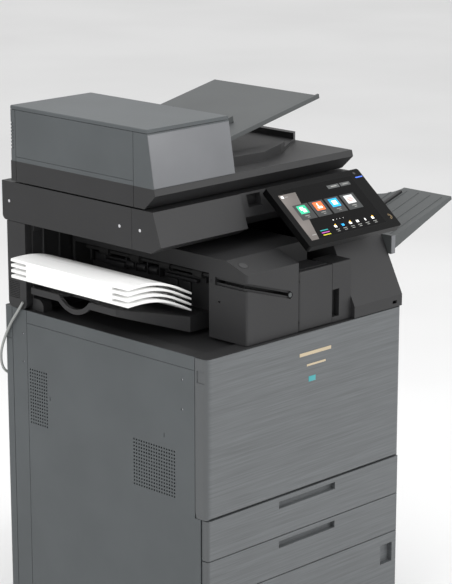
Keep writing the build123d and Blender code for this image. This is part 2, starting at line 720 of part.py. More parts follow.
def output_tray():
    """Exit tray: a sloping sheet with a deep rim and a scooped finger grip on its left edge."""
    cheek_y = fin_rear - 11
    plan = [(mouth_x - 6, tray_y[0]), tray_nose, tray_turn, (tray_left, tray_y[1]),
            (fin_left - 4, tray_y[1]), (fin_left - 4, cheek_y), (mouth_x - 6, cheek_y)]
    slab = prism_y([(mouth_x - 6, tray_root_z), (tray_root_x, tray_root_z), (tray_left, tray_z(tray_left)),
                    (tray_left, tray_z(tray_left) - TRAY_RIM), (tray_root_x, tray_root_z - TRAY_NOSE),
                    (mouth_x - 6, tray_root_z - TRAY_NOSE)], tray_y)
    tray = prism_z(plan, (deck_top, deck_top + 90)) & slab
    inner = [(x + 2 * TRAY_SHEET, y + TRAY_SHEET * 2) for x, y in plan[1:3]]
    inner = [(mouth_x - 12, tray_y[0] + 4)] + inner
    inner += [(tray_left + 6, cheek_y - 4), (mouth_x - 12, cheek_y - 4)]
    below = prism_y([(mouth_x, tray_root_z - 4), (tray_root_x, tray_root_z - 4),
                     (tray_left, tray_z(tray_left) - 4), (tray_left, deck_top), (mouth_x, deck_top)], tray_y)
    tray -= prism_z(inner, (deck_top - 1, deck_top + 90)) & below
    tray -= block((left - 10, mouth_x), (200, rear), (deck_top, deck_top + 29.5))
    grip_z = tray_z(tray_left)
    grip_y = bay_wall_y - 150
    scoop_r = 62.0
    outer = rod_x(scoop_r + 11, (tray_left, tray_left + 9), grip_y, grip_z + scoop_r - 24)
    tray += outer & block((tray_left, tray_left + 9), tray_y, (grip_z - 36, grip_z - 6))
    tray -= rod_x(scoop_r, (tray_left - 1, tray_left + 34), grip_y, grip_z + scoop_r - 24)
    return tray


paper_right = fin_left - 5
paper_y = (front + 171, front + 171 + PAPER_L)
paper_z = deck_top + 48.5


def paper_sets():
    """Stacked sets of sheets, every other one shorter, arched along their width."""
    stack = None
    for index in range(SET_COUNT):
        inset = PAPER_INSET if index % 2 else 0.0
        z = paper_z + index * SET_T
        points = []
        for high in (0.0, SET_T):
            row = [(paper_right - share * PAPER_W, z + high + PAPER_RISE * share + PAPER_ARCH * sin(pi * share))
                   for share in (0.0, 0.17, 0.33, 0.5, 0.67, 0.83, 1.0)]
            points += row if high == 0.0 else row[::-1]
        one = prism_y(points, (paper_y[0] + inset, paper_y[1] - inset))
        stack = one if stack is None else stack + one
    return stack


parts["finisher_housing"] = finisher_housing()
parts["finisher_cover"] = finisher_cover()
parts["exit_roller"] = exit_roller()
parts["stapler_unit"] = stapler_unit()
parts["staple_key"] = staple_key()
parts["output_tray"] = output_tray()
parts["paper_sets"] = paper_sets()


# ================================================================ scanner
fascia_y = front + FASCIA_BACK
scanner_rear = rear - SCANNER_REAR
neck_left = left + FASCIA_LEFT_W
glass_x = (-GLASS_X / 2, GLASS_X / 2)
glass_y = (GLASS_CENTRE_Y - GLASS_Y / 2, GLASS_CENTRE_Y + GLASS_Y / 2)
rail_z = scanner_bottom + 42
rail_ys = (fascia_y + 34, scanner_rear - 40)


def scanner_housing():
    """Scanner casing with the carriage rails and a window for the glass."""
    casing = block((left, right), (fascia_y + SEAM / 2, scanner_rear), (scanner_bottom, scanner_top))
    back_low = casing.edges().filter_by(Axis.X).group_by(Axis.Z)[0].sort_by(Axis.Y)[-1:]
    casing = fillet(back_low, SCANNER_CORNER)
    casing -= block((left + WALL, right - WALL), (fascia_y + SEAM / 2 + WALL, scanner_rear - WALL),
                    (scanner_bottom + WALL, scanner_top - GLASS_T))
    casing -= block(glass_x, glass_y, (scanner_top - GLASS_T - 1, scanner_top + 1))
    for y in rail_ys:
        casing += rod_x(RAIL_R, (left + WALL - 1, right - WALL + 1), y, rail_z)
    return casing


def fascia_profile(back):
    """Fascia's side outline: a leaning face, a chamfered chin, set back by the value given."""
    return [(fascia_y, scanner_bottom), (front + FASCIA_FOOT + back, scanner_bottom),
            (front + FASCIA_NOSE + back, scanner_bottom + FASCIA_CHAMFER),
            (front + FASCIA_TOP + back, scanner_top), (fascia_y, scanner_top)]


def neck_profile():
    """Side outline of the recessed part behind the operation panel."""
    return [(fascia_y, scanner_bottom + NECK_LIFT), (front + 171, scanner_bottom + NECK_LIFT),
            (front + FASCIA_NOSE + NECK_BACK, scanner_bottom + 38),
            (front + FASCIA_TOP + 3, scanner_top), (fascia_y, scanner_top)]


def scanner_front_cover():
    """Fascia on the left, recessed neck with a moulded pocket on the right."""
    cover = prism_x(fascia_profile(0), (left, neck_left))
    cover += prism_x(neck_profile(), (neck_left, right))
    cover -= block((left + WALL, right - WALL), (fascia_y - 40, fascia_y + 1),
                   (scanner_bottom + NECK_LIFT + WALL, scanner_top - WALL))
    cover -= block((neck_left + 20, neck_left + 62), (front, front + 171), (scanner_bottom + 56, scanner_top - 5))
    return cover


def carriage(x, z):
    """Bar along Y that runs on the two scanner rails."""
    bar = block(x, (rail_ys[0] - 14, rail_ys[1] + 14), z)
    for y in rail_ys:
        bar -= rod_x(RAIL_R + RUN, (x[0] - 1, x[1] + 1), y, rail_z)
    return bar


parts["scanner_housing"] = scanner_housing()
parts["scanner_front_cover"] = scanner_front_cover()
parts["platen_glass"] = block(glass_x, glass_y, (scanner_top - GLASS_T, scanner_top))
mirror_x = (left + WALL + 12, left + WALL + 12 + MIRROR_W)
scan_x = (mirror_x[1] + 14, mirror_x[1] + 14 + CARRIAGE_W)
parts["scan_carriage"] = carriage(scan_x, (rail_z - 12, rail_z + 24))
parts["mirror_carriage"] = carriage(mirror_x, (rail_z - 14, rail_z + 14))


# ================================================================ operation panel
panel_x = (left + PANEL_LEFT, left + PANEL_LEFT + PANEL_W)
panel_top = (front + PANEL_TOP_IN, scanner_bottom + PANEL_TOP_UP)
lean = radians(PANEL_LEAN)
normal = (-sin(lean), cos(lean))
down = (-cos(lean), -sin(lean))


def panel_point(along, out):
    """(Y, Z) of a point along the panel's face from its top edge, and out of the face."""
    return (panel_top[0] + along * down[0] + out * normal[0],
            panel_top[1] + along * down[1] + out * normal[1])


panel_plane = Plane(origin=((panel_x[0] + panel_x[1]) / 2, *panel_point(PANEL_H / 2, 0)),
                    x_dir=(1, 0, 0), z_dir=(0, *normal))
BARREL_ALONG = 104.0
barrel_y, barrel_z = panel_point(BARREL_ALONG, -PANEL_T - BARREL_BACK)
barrel_x = ((panel_x[0] + panel_x[1]) / 2 + 8, (panel_x[0] + panel_x[1]) / 2 + 8 + ARM_W)
POWER_KEY = (127.0, 74.0)
POWER_KEY_R = 3.5


def panel_slab(width, height, thick, out, radius):
    """Rounded slab parallel to the panel's face, its front at the given height over it."""
    outline = RectangleRounded(width, height, radius)
    return panel_plane * Pos(0, 0, out - thick) * extrude(outline, amount=thick)


def operation_panel():
    """Panel housing with two hinge ears and the pin through the arm's barrel."""
    slab = panel_slab(PANEL_W, PANEL_H, PANEL_T, 0, PANEL_EDGE)
    slab -= panel_plane * Pos(0, 0, -SCREEN_T) * extrude(Rectangle(SCREEN_W, SCREEN_H), amount=SCREEN_T + 1)
    slab -= panel_plane * Pos(*POWER_KEY, -6) * extrude(Circle(POWER_KEY_R + 0.4), amount=7)
    ears = []
    for x in ((barrel_x[0] - 8.5, barrel_x[0] - MOVE), (barrel_x[1] + MOVE, barrel_x[1] + 8.5)):
        near = panel_point(BARREL_ALONG - 12, -PANEL_T + 1)
        far = panel_point(BARREL_ALONG + 12, -PANEL_T + 1)
        ear = prism_x([near, far, panel_point(BARREL_ALONG + 9, -PANEL_T - BARREL_BACK),
                       panel_point(BARREL_ALONG - 9, -PANEL_T - BARREL_BACK)], x)
        ears.append(ear + rod_x(9, x, barrel_y, barrel_z))
    pin = rod_x(PANEL_PIN_R, (barrel_x[0] - 8, barrel_x[1] + 8), barrel_y, barrel_z)
    return slab + ears[0] + ears[1] + pin


def panel_arm():
    """Arm from the column's top to the hinge barrel behind the panel."""
    foot_y = front + 1 + (BAY_HEIGHT - COLUMN_FOOT) * COLUMN_LEAN
    arm = prism_x([(foot_y + 1, scanner_bottom), (front + COLUMN_BACK - 2, scanner_bottom),
                   (front + COLUMN_BACK - 2, scanner_bottom + 13), (front + 142, scanner_bottom + 27),
                   (barrel_y + 6, barrel_z + 6), (barrel_y - 4, barrel_z - 6)], barrel_x)
    arm += rod_x(BARREL_R, barrel_x, barrel_y, barrel_z)
    arm -= rod_x(PANEL_PIN_R + RUN, (barrel_x[0] - 1, barrel_x[1] + 1), barrel_y, barrel_z)
    return arm


parts["operation_panel"] = operation_panel()
parts["touch_screen"] = panel_plane * Pos(0, 0, -SCREEN_T) * extrude(Rectangle(SCREEN_W, SCREEN_H), amount=SCREEN_T)
parts["power_key"] = panel_plane * Pos(*POWER_KEY, -4.5) * extrude(Circle(POWER_KEY_R), amount=5.3)
parts["panel_arm"] = panel_arm()


# ================================================================ document feeder
lid_right = right - LID_RIGHT
lid_rear = rear - LID_REAR
feeder_right = left + FEEDER_W
hinge_y = rear - HINGE_Y
hinge_z = scanner_top + HINGE_UP
brow = front + LID_BROW
feed_roller_x = left + 150
feed_roller_z = lid_top + 70
doc_x = (feeder_right + 12, lid_right - 6)
doc_y = (front + 240, lid_rear - 34)
doc_z = lid_top + 34
DOC_PIN_R = 3.0


def lid_profile():
    """Side outline of the feeder's base: undercut chin, crease and brow."""
    return [(lid_rear, lid_bottom), (front + LID_FRONT, lid_bottom), (front + LID_CREASE, lid_bottom + LID_CREASE_UP),
            (brow, lid_top), (lid_rear, lid_top)]


def adf_base():
    """Feeder's base with a raised bed under the document tray and ears for the hinges."""
    base = prism_x(lid_profile(), (left, lid_right))
    base -= block((left + 6, lid_right - 6), (front + LID_FRONT + 14, lid_rear - 6), (lid_bottom + 4, lid_top - 5))
    bed_low = [(feeder_right + 2, brow + 62), (75.0, front + 205), (171.0, front + 244),
               (lid_right - 2, front + 324), (lid_right - 2, lid_rear - 2), (feeder_right + 2, lid_rear - 2)]
    bed = prism_z(bed_low, (lid_top, lid_top + 20))
    bed -= block((feeder_right + 20, lid_right - 20), (front + 262, lid_rear - 24), (lid_top + 6, lid_top + 21))
    base += bed
    for side in (-1, 1):
        for gap in (-HINGE_W / 2 - 7, HINGE_W / 2 + 1):
            x = (side * HINGE_X + gap, side * HINGE_X + gap + 6)
            base += block(x, (lid_rear - 4, hinge_y), (hinge_z - 9, hinge_z + 9))
            base += rod_x(11, x, hinge_y, hinge_z)
            base -= rod_x(HINGE_R + RUN, (x[0] - 1, x[1] + 1), hinge_y, hinge_z)
    cut_x = (left - 1, left + GROOVE_DEPTH)
    for y in (front + 214, lid_rear - 17):
        base -= block(cut_x, (y - GROOVE / 2, y + GROOVE / 2), (lid_bottom - 1, lid_top + 1))
    for y in (doc_y[0] + 10, doc_y[1] - 18):
        base += block((doc_x[0] - 6, doc_x[0] + 8), (y, y + 8), (lid_top + 4, doc_z + 1))
        base -= rod_y(DOC_PIN_R + RUN, (y - 1, y + 9), doc_x[0] + 1, doc_z - 4)
    return base


def adf_hinges():
    """Two hinge posts at the scanner's rear edge, each with its pin."""
    posts = []
    for side in (-1, 1):
        x = (side * HINGE_X - HINGE_W / 2, side * HINGE_X + HINGE_W / 2)
        post = block(x, (hinge_y - 9, rear - SCANNER_REAR - 1), (scanner_top, hinge_z))
        post += rod_x(9, x, hinge_y, hinge_z)
        post += rod_x(HINGE_R, (x[0] - 7.5, x[1] + 7.5), hinge_y, hinge_z)
        posts.append(post)
    return group(posts)


def adf_feed_housing():
    """Tall feed casing on the left: open at the top, with a document slot on its right."""
    height = feeder_top - lid_top
    z = (lid_top, feeder_top - TOP_COVER)
    lean_in = FEEDER_LEAN * height
    profile = [(brow, lid_top), (brow + FEEDER_LEAN * (z[1] - z[0]), z[1]), (lid_rear - 2, z[1]), (lid_rear - 2, lid_top)]
    shell = prism_x(profile, (left, feeder_right))
    inner = [(brow + 6, lid_top + 4), (brow + lean_in + 2, z[1] + 1), (lid_rear - 8, z[1] + 1), (lid_rear - 8, lid_top + 4)]
    shell -= prism_x(inner, (left + FEEDER_WALL, feeder_right - FEEDER_WALL))
    shell -= block((feeder_right - FEEDER_WALL - 1, feeder_right + 1), (doc_y[0] + 6, doc_y[1] - 6),
                   (doc_z + 2, doc_z + 26))
    for y in (brow + 40, lid_rear - 30):
        boss = block((feed_roller_x - 9, feed_roller_x + 9), (y, y + 6), (lid_top + 3, feed_roller_z + 9))
        boss -= rod_y(ROLLER_SHAFT_R + RUN, (y - 1, y + 7), feed_roller_x, feed_roller_z)
        shell += boss
    cut_x = (left - 1, left + GROOVE_DEPTH)
    for y in (front + 214, lid_rear - 17):
        shell -= block(cut_x, (y - GROOVE / 2, y + GROOVE / 2), (lid_top - 1, z[1] + 1))
    shell -= block(cut_x, (front + 214, lid_rear - 17), (lid_top + 10 - 0.5, lid_top + 10 + 0.5))
    for row in range(8):
        slot_z = lid_top + 28 + row * HOLE_PITCH
        shell -= block((left - 1, left + FEEDER_WALL - 1), (lid_rear - 11, lid_rear + 1), (slot_z, slot_z + 3.4))
    return shell


def adf_top_cover():
    """Top cover of the feed casing, hinged on its left edge."""
    z = (feeder_top - TOP_COVER + 1, feeder_top)
    y = (brow + FEEDER_LEAN * (z[0] - lid_top), lid_rear - 2)
    cover = block((left, feeder_right), y, z)
    cover = fillet(cover.edges().filter_by(Axis.Y).group_by(Axis.Z)[-1], 3)
    cover -= block((left + 4, feeder_right - 4), (y[0] + 4, y[1] - 4), (z[0] - 1, z[1] - 4))
    return cover


def document_tray():
    """Sloping tray with a raised front lip, on two stub pins at its left end."""
    tray = block((doc_x[0] + 10, doc_x[1]), doc_y, (doc_z, doc_z + DOC_T))
    tray += block((doc_x[0] + 10, doc_x[1]), (doc_y[0], doc_y[0] + 5), (doc_z, doc_z + DOC_T + 4))
    tray = Pos(doc_x[0], 0, doc_z) * Rot(0, -DOC_RISE, 0) * Pos(-doc_x[0], 0, -doc_z) * tray
    for y in (doc_y[0] + 19, doc_y[1] - 30):
        tray += block((doc_x[0] - 3, doc_x[0] + 16), (y, y + 11), (doc_z - 8, doc_z + 5))
    for y in ((doc_y[0] + 9, doc_y[0] + 22), (doc_y[1] - 22, doc_y[1] - 9)):
        tray += rod_y(DOC_PIN_R, y, doc_x[0] + 1, doc_z - 4)
    return tray


def document_guide(side):
    """Upright side guide that slides on the document tray."""
    middle = (doc_y[0] + doc_y[1]) / 2
    y = sorted((middle + side * 92, middle + side * 95))
    fence = block((doc_x[0] + 24, doc_x[0] + 150), y, (doc_z + DOC_T + 0.4, doc_z + DOC_T + 14))
    foot_y = sorted((middle + side * 62, middle + side * 95))
    fence += block((doc_x[0] + 24, doc_x[0] + 110), foot_y, (doc_z + DOC_T + 0.4, doc_z + DOC_T + 2.4))
    return Pos(doc_x[0], 0, doc_z) * Rot(0, -DOC_RISE, 0) * Pos(-doc_x[0], 0, -doc_z) * fence


def adf_feed_roller():
    """Feed shaft with three rubber rollers."""
    y = (brow + 41, lid_rear - 25)
    shaft = rod_y(ROLLER_SHAFT_R, y, feed_roller_x, feed_roller_z)
    for middle in (y[0] + 90, (y[0] + y[1]) / 2, y[1] - 90):
        shaft += rod_y(13, (middle - 16, middle + 16), feed_roller_x, feed_roller_z)
    return shaft


parts["adf_base"] = adf_base()
parts["platen_mat"] = block((glass_x[0] + 1, glass_x[1] - 1), (glass_y[0] + 1, glass_y[1] - 1), (scanner_top + 1, lid_bottom))
parts["adf_hinges"] = adf_hinges()
parts["adf_feed_housing"] = adf_feed_housing()
parts["adf_top_cover"] = adf_top_cover()
parts["document_tray"] = document_tray()
parts["document_guide_front"] = document_guide(-1)
parts["document_guide_rear"] = document_guide(1)
parts["adf_feed_roller"] = adf_feed_roller()


# ================================================================ right side
exit_z = deck_top + EXIT_UP
exit_y = (front + EXIT_FRONT, front + EXIT_FRONT + EXIT_WIDTH)


def right_exit_tray():
    """Ribbed wedge that slopes up to the right, with a finger notch in its outer edge."""
    tray = block((0, EXIT_LENGTH), exit_y, (0, EXIT_ROOT))
    tray -= prism_y([(-1, -1), (EXIT_LENGTH + 1, -1), (EXIT_LENGTH + 1, EXIT_ROOT - EXIT_TIP), (-1, 0)], exit_y)
    under = [(6, -1), (EXIT_LENGTH - 5, -1), (EXIT_LENGTH - 5, EXIT_ROOT - EXIT_SHEET), (6, EXIT_ROOT - EXIT_SHEET)]
    tray -= prism_y(under, (exit_y[0] + 4, exit_y[1] - 4))
    notch = Pos(EXIT_LENGTH + 12, exit_y[0] + 200, EXIT_ROOT / 2) * Cylinder(62, EXIT_ROOT + 8)
    tray -= notch
    for index in range(9):
        rib_y = exit_y[0] + 18 + index * 34.0
        rib = block((14, EXIT_LENGTH - 12), (rib_y, rib_y + 5), (EXIT_ROOT - 0.5, EXIT_ROOT + 1.2))
        tray += rib - notch
    tray = Pos(right, 0, exit_z) * Rot(0, -EXIT_RISE, 0) * tray
    root = block((right, right + 14), exit_y, (exit_z - 5, exit_z + 37))
    tray = tray - block((right - 30, right), (front - 50, rear), (exit_z - 60, exit_z + 90))
    return tray + root


def right_door():
    """Transport door, hinged at the back, with a recess for the bypass tray."""
    x = (right - DOOR_T, right)
    door = block(x, door_y, door_z)
    door = fillet(upright_edges(door, right, door_y[1]), 6)
    for z in ((door_z[0] - 5, door_z[0] + 6), (door_z[1] - 6, door_z[1] + 5)):
        door += rod_z(DOOR_PIN_R, door_axis_x, door_axis_y, z)
    recess_y = (door_y[0] + 60, door_y[0] + 60 + BYPASS_W + 2)
    recess_z = (door_z[0] + 30, door_z[0] + 30 + BYPASS_H + 2)
    door -= block((right - BYPASS_T - 1, right + 1), recess_y, recess_z)
    for y in (recess_y[0] - 6, recess_y[1] - 2):
        door -= rod_y(BYPASS_PIN_R + RUN, (y, y + 8), right - BYPASS_PIN_R - 2, recess_z[0] + 6)
    door -= block((right - 12, right + 1), (door_y[0] - 1, door_y[0] + 22), (door_z[0] + 120, door_z[0] + 200))
    door -= block((x[0] - 1, x[0] + 6), (door_y[1] - 14, door_y[1] + 1), (door_z[0] - 1, door_z[1] + 1))
    return door


def bypass_tray():
    """Bypass tray, folded up flat in the door, on two stub pins at its foot."""
    y = (door_y[0] + 61, door_y[0] + 61 + BYPASS_W)
    z = (door_z[0] + 31, door_z[0] + 31 + BYPASS_H)
    tray = block((right - BYPASS_T, right - 1), y, (z[0] + 5, z[1]))
    tray -= block((right - BYPASS_T - 1, right - 4), (y[0] + 6, y[1] - 6), (z[0] + 16, z[1] - 6))
    pin_x = right - BYPASS_PIN_R - 2
    tray += rod_y(5, y, pin_x, z[0] + 5)
    tray += rod_y(BYPASS_PIN_R, (y[0] - 5, y[1] + 5), pin_x, z[0] + 5)
    return tray


parts["right_exit_tray"] = right_exit_tray()
parts["right_door"] = right_door()
parts["bypass_tray"] = bypass_tray()


# ================================================================ front cover, drawers, cabinet door
def front_cover():
    """Front cover, wrapped round both sides, on two stub pins near its foot."""
    z = (upper_top + 1, deck_top - 1)
    shell = block((left, right), (front, front + WRAP - SEAM / 2), z)
    shell = fillet(upright_edges(shell, left, front) + upright_edges(shell, right, front), FRONT_CORNER)
    hollow = block((left + WALL, right - WALL), (front + WALL, front + WRAP + 1), (z[0] - 1, z[1] + 1))
    hollow = fillet(upright_edges(hollow, left + WALL, front + WALL)
                    + upright_edges(hollow, right - WALL, front + WALL), FRONT_CORNER - WALL)
    shell -= hollow
    wrap_end = front + WRAP - SEAM / 2
    shell -= prism_x([(wrap_end - 3.5, z[0] - 1), (wrap_end + 0.2, cover_axis_z), (wrap_end + 2, cover_axis_z),
                      (wrap_end + 2, z[0] - 1)], (left - 1, right + 1))
    shell -= prism_x([(front - 1, z[0] - 1), (front + 5.4, z[0] - 1), (front - 1, z[0] + 5)], (left - 1, right + 1))
    for side in (-1, 1):
        x = sorted((side * (half_w - WALL + 0.5), side * (frame_x - SHEET - 2)))
        shell += rod_x(COVER_PIN_R, x, cover_axis_y, cover_axis_z)
    grip_y = (front + 7, front + WRAP - 6)
    grip_z = (deck_top - GRIP_TOP - GRIP_HEIGHT, deck_top - GRIP_TOP)
    shell -= block((left - 1, left + GRIP_DEPTH), grip_y, grip_z)
    return shell


def drawer_tub(floor_z):
    """Open tub of a paper drawer."""
    x = (-frame_x + SHEET + TUB_SIDE, frame_x - SHEET - TUB_SIDE)
    y = (front + FRONT_THICK, front + FRONT_THICK + TUB_DEPTH)
    z = (floor_z + TUB_LIFT, floor_z + TUB_LIFT + TUB_HEIGHT)
    tub = tray_box(x, y, z, TUB_WALL, TUB_WALL)
    for pin_y in (-LIFT_HALF_Y - 10, LIFT_HALF_Y + 4):
        lug = block((LIFT_LEFT - 6, LIFT_LEFT + 6), (pin_y, pin_y + 6), (z[0] + 1, z[0] + 15))
        lug -= rod_y(LIFT_PIN_R + RUN, (pin_y - 1, pin_y + 7), LIFT_LEFT, z[0] + 8)
        tub += lug
    return tub


def drawer_front(floor_z):
    """Drawer's front with a finger grip under its top edge."""
    z = (floor_z + 1, floor_z + DRAWER_HEIGHT - 1)
    panel = block((left + 2, right - 2), (front, front + FRONT_THICK), z)
    panel = fillet(upright_edges(panel, left + 2, front) + upright_edges(panel, right - 2, front), 6)
    panel -= block((-FINGER_W / 2, FINGER_W / 2), (front - 1, front + FINGER_D),
                   (z[1] - FINGER_H - 10, z[1] - 10))
    return panel


def lift_plate(floor_z):
    """Plate that lifts the paper's feeding end, slotted for the length guide."""
    z = floor_z + TUB_LIFT + 6.5
    plate = block((LIFT_LEFT, LIFT_RIGHT), (-LIFT_HALF_Y, LIFT_HALF_Y), (z, z + LIFT_SHEET))
    plate -= block((LIFT_LEFT + 7, LIFT_SLOT_END), (-LIFT_SLOT / 2, LIFT_SLOT / 2), (z - 1, z + 3))
    plate += rod_y(LIFT_PIN_R, (-LIFT_HALF_Y - 9, -LIFT_HALF_Y + 6), LIFT_LEFT, z + 1.5)
    plate += rod_y(LIFT_PIN_R, (LIFT_HALF_Y - 6, LIFT_HALF_Y + 9), LIFT_LEFT, z + 1.5)
    return plate


def length_guide(floor_z):
    """Fence that slides along the tub's floor against the sheets' left edge."""
    z = floor_z + TUB_LIFT + TUB_WALL + 0.2
    x = (LIFT_LEFT + 12, LIFT_LEFT + 12 + GUIDE_T)
    fence = block(x, (-GUIDE_W / 2, GUIDE_W / 2), (z, floor_z + TUB_LIFT + TUB_HEIGHT - 4))
    return fence + block((x[0], x[1] + 14), (-GUIDE_W / 2, GUIDE_W / 2), (z, z + 2))


parts["front_cover"] = front_cover()
for name, floor_z in (("upper", lower_top), ("lower", cabinet_top)):
    parts[name + "_drawer_tub"] = drawer_tub(floor_z)
    parts[name + "_drawer_front"] = drawer_front(floor_z)
    parts[name + "_lift_plate"] = lift_plate(floor_z)
    parts[name + "_length_guide"] = length_guide(floor_z)


def cabinet_door():
    """Door of the storage cabinet, hinged at its left edge on two stub pins."""
    z = (base_top + 2, cabinet_top - 1)
    door = block((left + 2, right - 2), (front, front + FRONT_THICK), z)
    door = fillet(upright_edges(door, left + 2, front) + upright_edges(door, right - 2, front), 6)
    door -= block((right - 60, right - 20), (front - 1, front + FINGER_D), (z[1] - 70, z[1] - 24))
    door -= block((left + 34, right - 70), (front + 4, front + FRONT_THICK + 1), (z[0] + 8, z[1] - 8))
    for lug_z in cabinet_lug_z:
        door = cut_for_lug(door, cabinet_axis, lug_z, CABINET_PIN_R)
    return door


parts["cabinet_door"] = cabinet_door()


# ================================================================ engine
CARTRIDGE_W = 84.0
CARTRIDGE_PITCH = 104.0
CARTRIDGE_X = -238.0
CARTRIDGE_Z = (246.0, 318.0)
DRUM_Z = 130.0
DRUM_R = 15.0
FUSER_X = (208.0, 284.0)
FUSER_Z = (232.0, 312.0)
HEAT_R = 18.0
HEAT_SHAFT_R = 7.0
INNER_PANEL_T = 3.0
SWITCH_X = -272.0


def cartridge_x(index):
    """Left and right face of one toner cartridge."""
    start = CARTRIDGE_X - CARTRIDGE_W / 2 + index * CARTRIDGE_PITCH
    return start, start + CARTRIDGE_W


def inner_front_panel():
    """Sheet behind the front cover, with windows for cartridges and the mains switch."""
    inner = frame_x - SHEET
    y = (frame_front - INNER_PANEL_T, frame_front)
    panel = block((-inner, inner), y, (upper_top + 30, deck_bottom))
    for index in range(4):
        x = cartridge_x(index)
        panel -= block((x[0] - 2, x[1] + 2), (y[0] - 1, y[1] + 1),
                       (upper_top + CARTRIDGE_Z[0], upper_top + CARTRIDGE_Z[1] + 2))
    panel -= block((SWITCH_X - 9, SWITCH_X + 9), (y[0] - 1, y[1] + 1), (upper_top + 178, upper_top + 206))
    return panel


def laser_unit():
    """Flat sealed box below the drums, with four exit windows."""
    unit = block((-200, 190), (frame_front, frame_rear - 110), (upper_top + 22, upper_top + 84))
    for index in range(4):
        x = -164 + index * 88.0
        unit -= block((x, x + 12), (frame_front + 60, frame_rear - 140), (upper_top + 78, upper_top + 85))
    return unit


def drum_units():
    """Four drum units side by side, each a drum above its trough."""
    units = []
    for index in range(4):
        x = -150 + index * 88.0
        y = (frame_front, frame_rear - 100)
        z = upper_top + DRUM_Z
        unit = block((x - 34, x + 34), y, (z - 34, z - 6))
        unit += rod_y(DRUM_R, (y[0] + 14, y[1] - 14), x, z)
        for end in ((y[0], y[0] + 14), (y[1] - 14, y[1])):
            unit += block((x - 20, x + 20), end, (z - 8, z + 12))
        units.append(unit)
    return group(units)


def transfer_belt():
    """Belt loop round two rollers."""
    y = (frame_front, frame_rear - 112)
    z = upper_top + 178
    half = 28.0
    loop = block((-190, 160), y, (z - half, z + half)) + rod_y(half, y, -190, z) + rod_y(half, y, 160, z)
    inner = block((-190, 160), y, (z - half + 3, z + half - 3))
    inner += rod_y(half - 3, y, -190, z) + rod_y(half - 3, y, 160, z)
    loop -= inner
    for x in (-190, 160):
        loop += rod_y(half - 2, y, x, z) - rod_y(12, y, x, z)
    return loop


def toner_cartridges():
    """Four bottles in a row behind the front cover, each with a rounded body."""
    bottles = []
    for index in range(4):
        x = cartridge_x(index)
        z = (upper_top + CARTRIDGE_Z[0], upper_top + CARTRIDGE_Z[1])
        bottle = block(x, (frame_front - 12, frame_rear - 90), z)
        bottle = fillet(bottle.edges().filter_by(Axis.Y), 14)
        grip = block((x[0] + 26, x[1] - 26), (frame_front - 13, frame_front), (z[0] + 20, z[1] - 20))
        bottles.append(bottle - grip)
    return group(bottles)


def fuser_housing():
    """Fuser casing, open to the belt and to the exit, with a bearing in each end."""
    y = (frame_front, frame_rear - 120)
    z = (upper_top + FUSER_Z[0], upper_top + FUSER_Z[1])
    x_mid = sum(FUSER_X) / 2
    z_mid = sum(z) / 2
    casing = block(FUSER_X, y, z)
    casing -= block((FUSER_X[0] + 6, FUSER_X[1] - 6), (y[0] + 8, y[1] - 8), (z[0] - 1, z[1] + 1))
    for end in (y[0] + 4, y[1] - 4):
        casing -= rod_y(HEAT_SHAFT_R + RUN, (end - 5, end + 5), x_mid, z_mid)
    return casing


def heat_roller():
    """Hollow heat roller on its shaft ends."""
    y = (frame_front + 2, frame_rear - 122)
    x_mid = sum(FUSER_X) / 2
    z_mid = upper_top + sum(FUSER_Z) / 2
    roller = rod_y(HEAT_SHAFT_R, y, x_mid, z_mid)
    return roller + rod_y(HEAT_R, (y[0] + 10, y[1] - 10), x_mid, z_mid)


def control_board():
    """Main board on stand-offs at the back, with its larger components."""
    board_y = frame_rear - SHEET - 12
    board = block((-220, 180), (board_y, board_y + 2), (upper_top + 60, upper_top + 300))
    for x, z, w, h, d in ((-170, 230, 60, 40, 22), (-60, 150, 46, 46, 8), (60, 240, 70, 30, 14), (90, 110, 50, 60, 18)):
        board += block((x, x + w), (board_y - d, board_y), (upper_top + z, upper_top + z + h))
    for x in (-212, 172):
        for z in (70, 290):
            board += rod_y(4, (board_y + 2, frame_rear - SHEET), x, upper_top + z)
    return board


switch_axis = (frame_front + 6.0, upper_top + 192.0)


def power_switch():
    """Mains rocker in the inner front panel."""
    y, z = switch_axis
    rocker = prism_x([(y - 14, z + 11), (y - 10, z - 11), (y, z - 11), (y, z + 11)], (SWITCH_X - 8, SWITCH_X + 8))
    return rocker + rod_x(3, (SWITCH_X - 8, SWITCH_X + 8), y, z)


parts["inner_front_panel"] = inner_front_panel()
parts["laser_unit"] = laser_unit()
parts["drum_units"] = drum_units()
parts["transfer_belt"] = transfer_belt()
parts["toner_cartridges"] = toner_cartridges()
parts["fuser_housing"] = fuser_housing()
parts["heat_roller"] = heat_roller()
parts["control_board"] = control_board()
parts["power_switch"] = power_switch()


# ================================================================ screws and cable
def cover_screws():
    """Pan-head screws of the side, scanner and fascia covers."""
    places = [(side_seam_y + 13.5, deck_top - 55.5, WALL - 0.8), (side_seam_y + 13.5, deck_top - 120, WALL - 0.8),
              (side_front_high + 36.5, deck_top - 55.5, WALL - 0.8), (side_front_high + 36.5, deck_top - 120, WALL - 0.8)]
    for y in (rear - 28.4, fascia_y + 37, fascia_y - 25):
        places.append((y, scanner_bottom + 44, 0.0))
    screws = []
    for y, z, sink in places:
        radius = HOLE_R - 0.1 if sink else SCREW_R
        screws.append(rod_x(radius, (left - SCREW_HEAD + sink + (0.2 if sink else 0), left + sink), y, z))
    return group(screws)


parts["cover_screws"] = cover_screws()


cable_x = left - CABLE_R - 3
CABLE_ROUTE = [(left - 2.9, 252.0, 768.0), (cable_x - 2, 262.0, 748.0), (cable_x - 0.5, 290.0, 716.0),
               (cable_x, 314.0, 676.0), (cable_x, rear + 8, 640.0), (cable_x + 2, rear + 9, 610.0),
               (cable_x + 14, rear + 10, 590.0), (cable_x + 30, rear + 2.8, 580.0)]


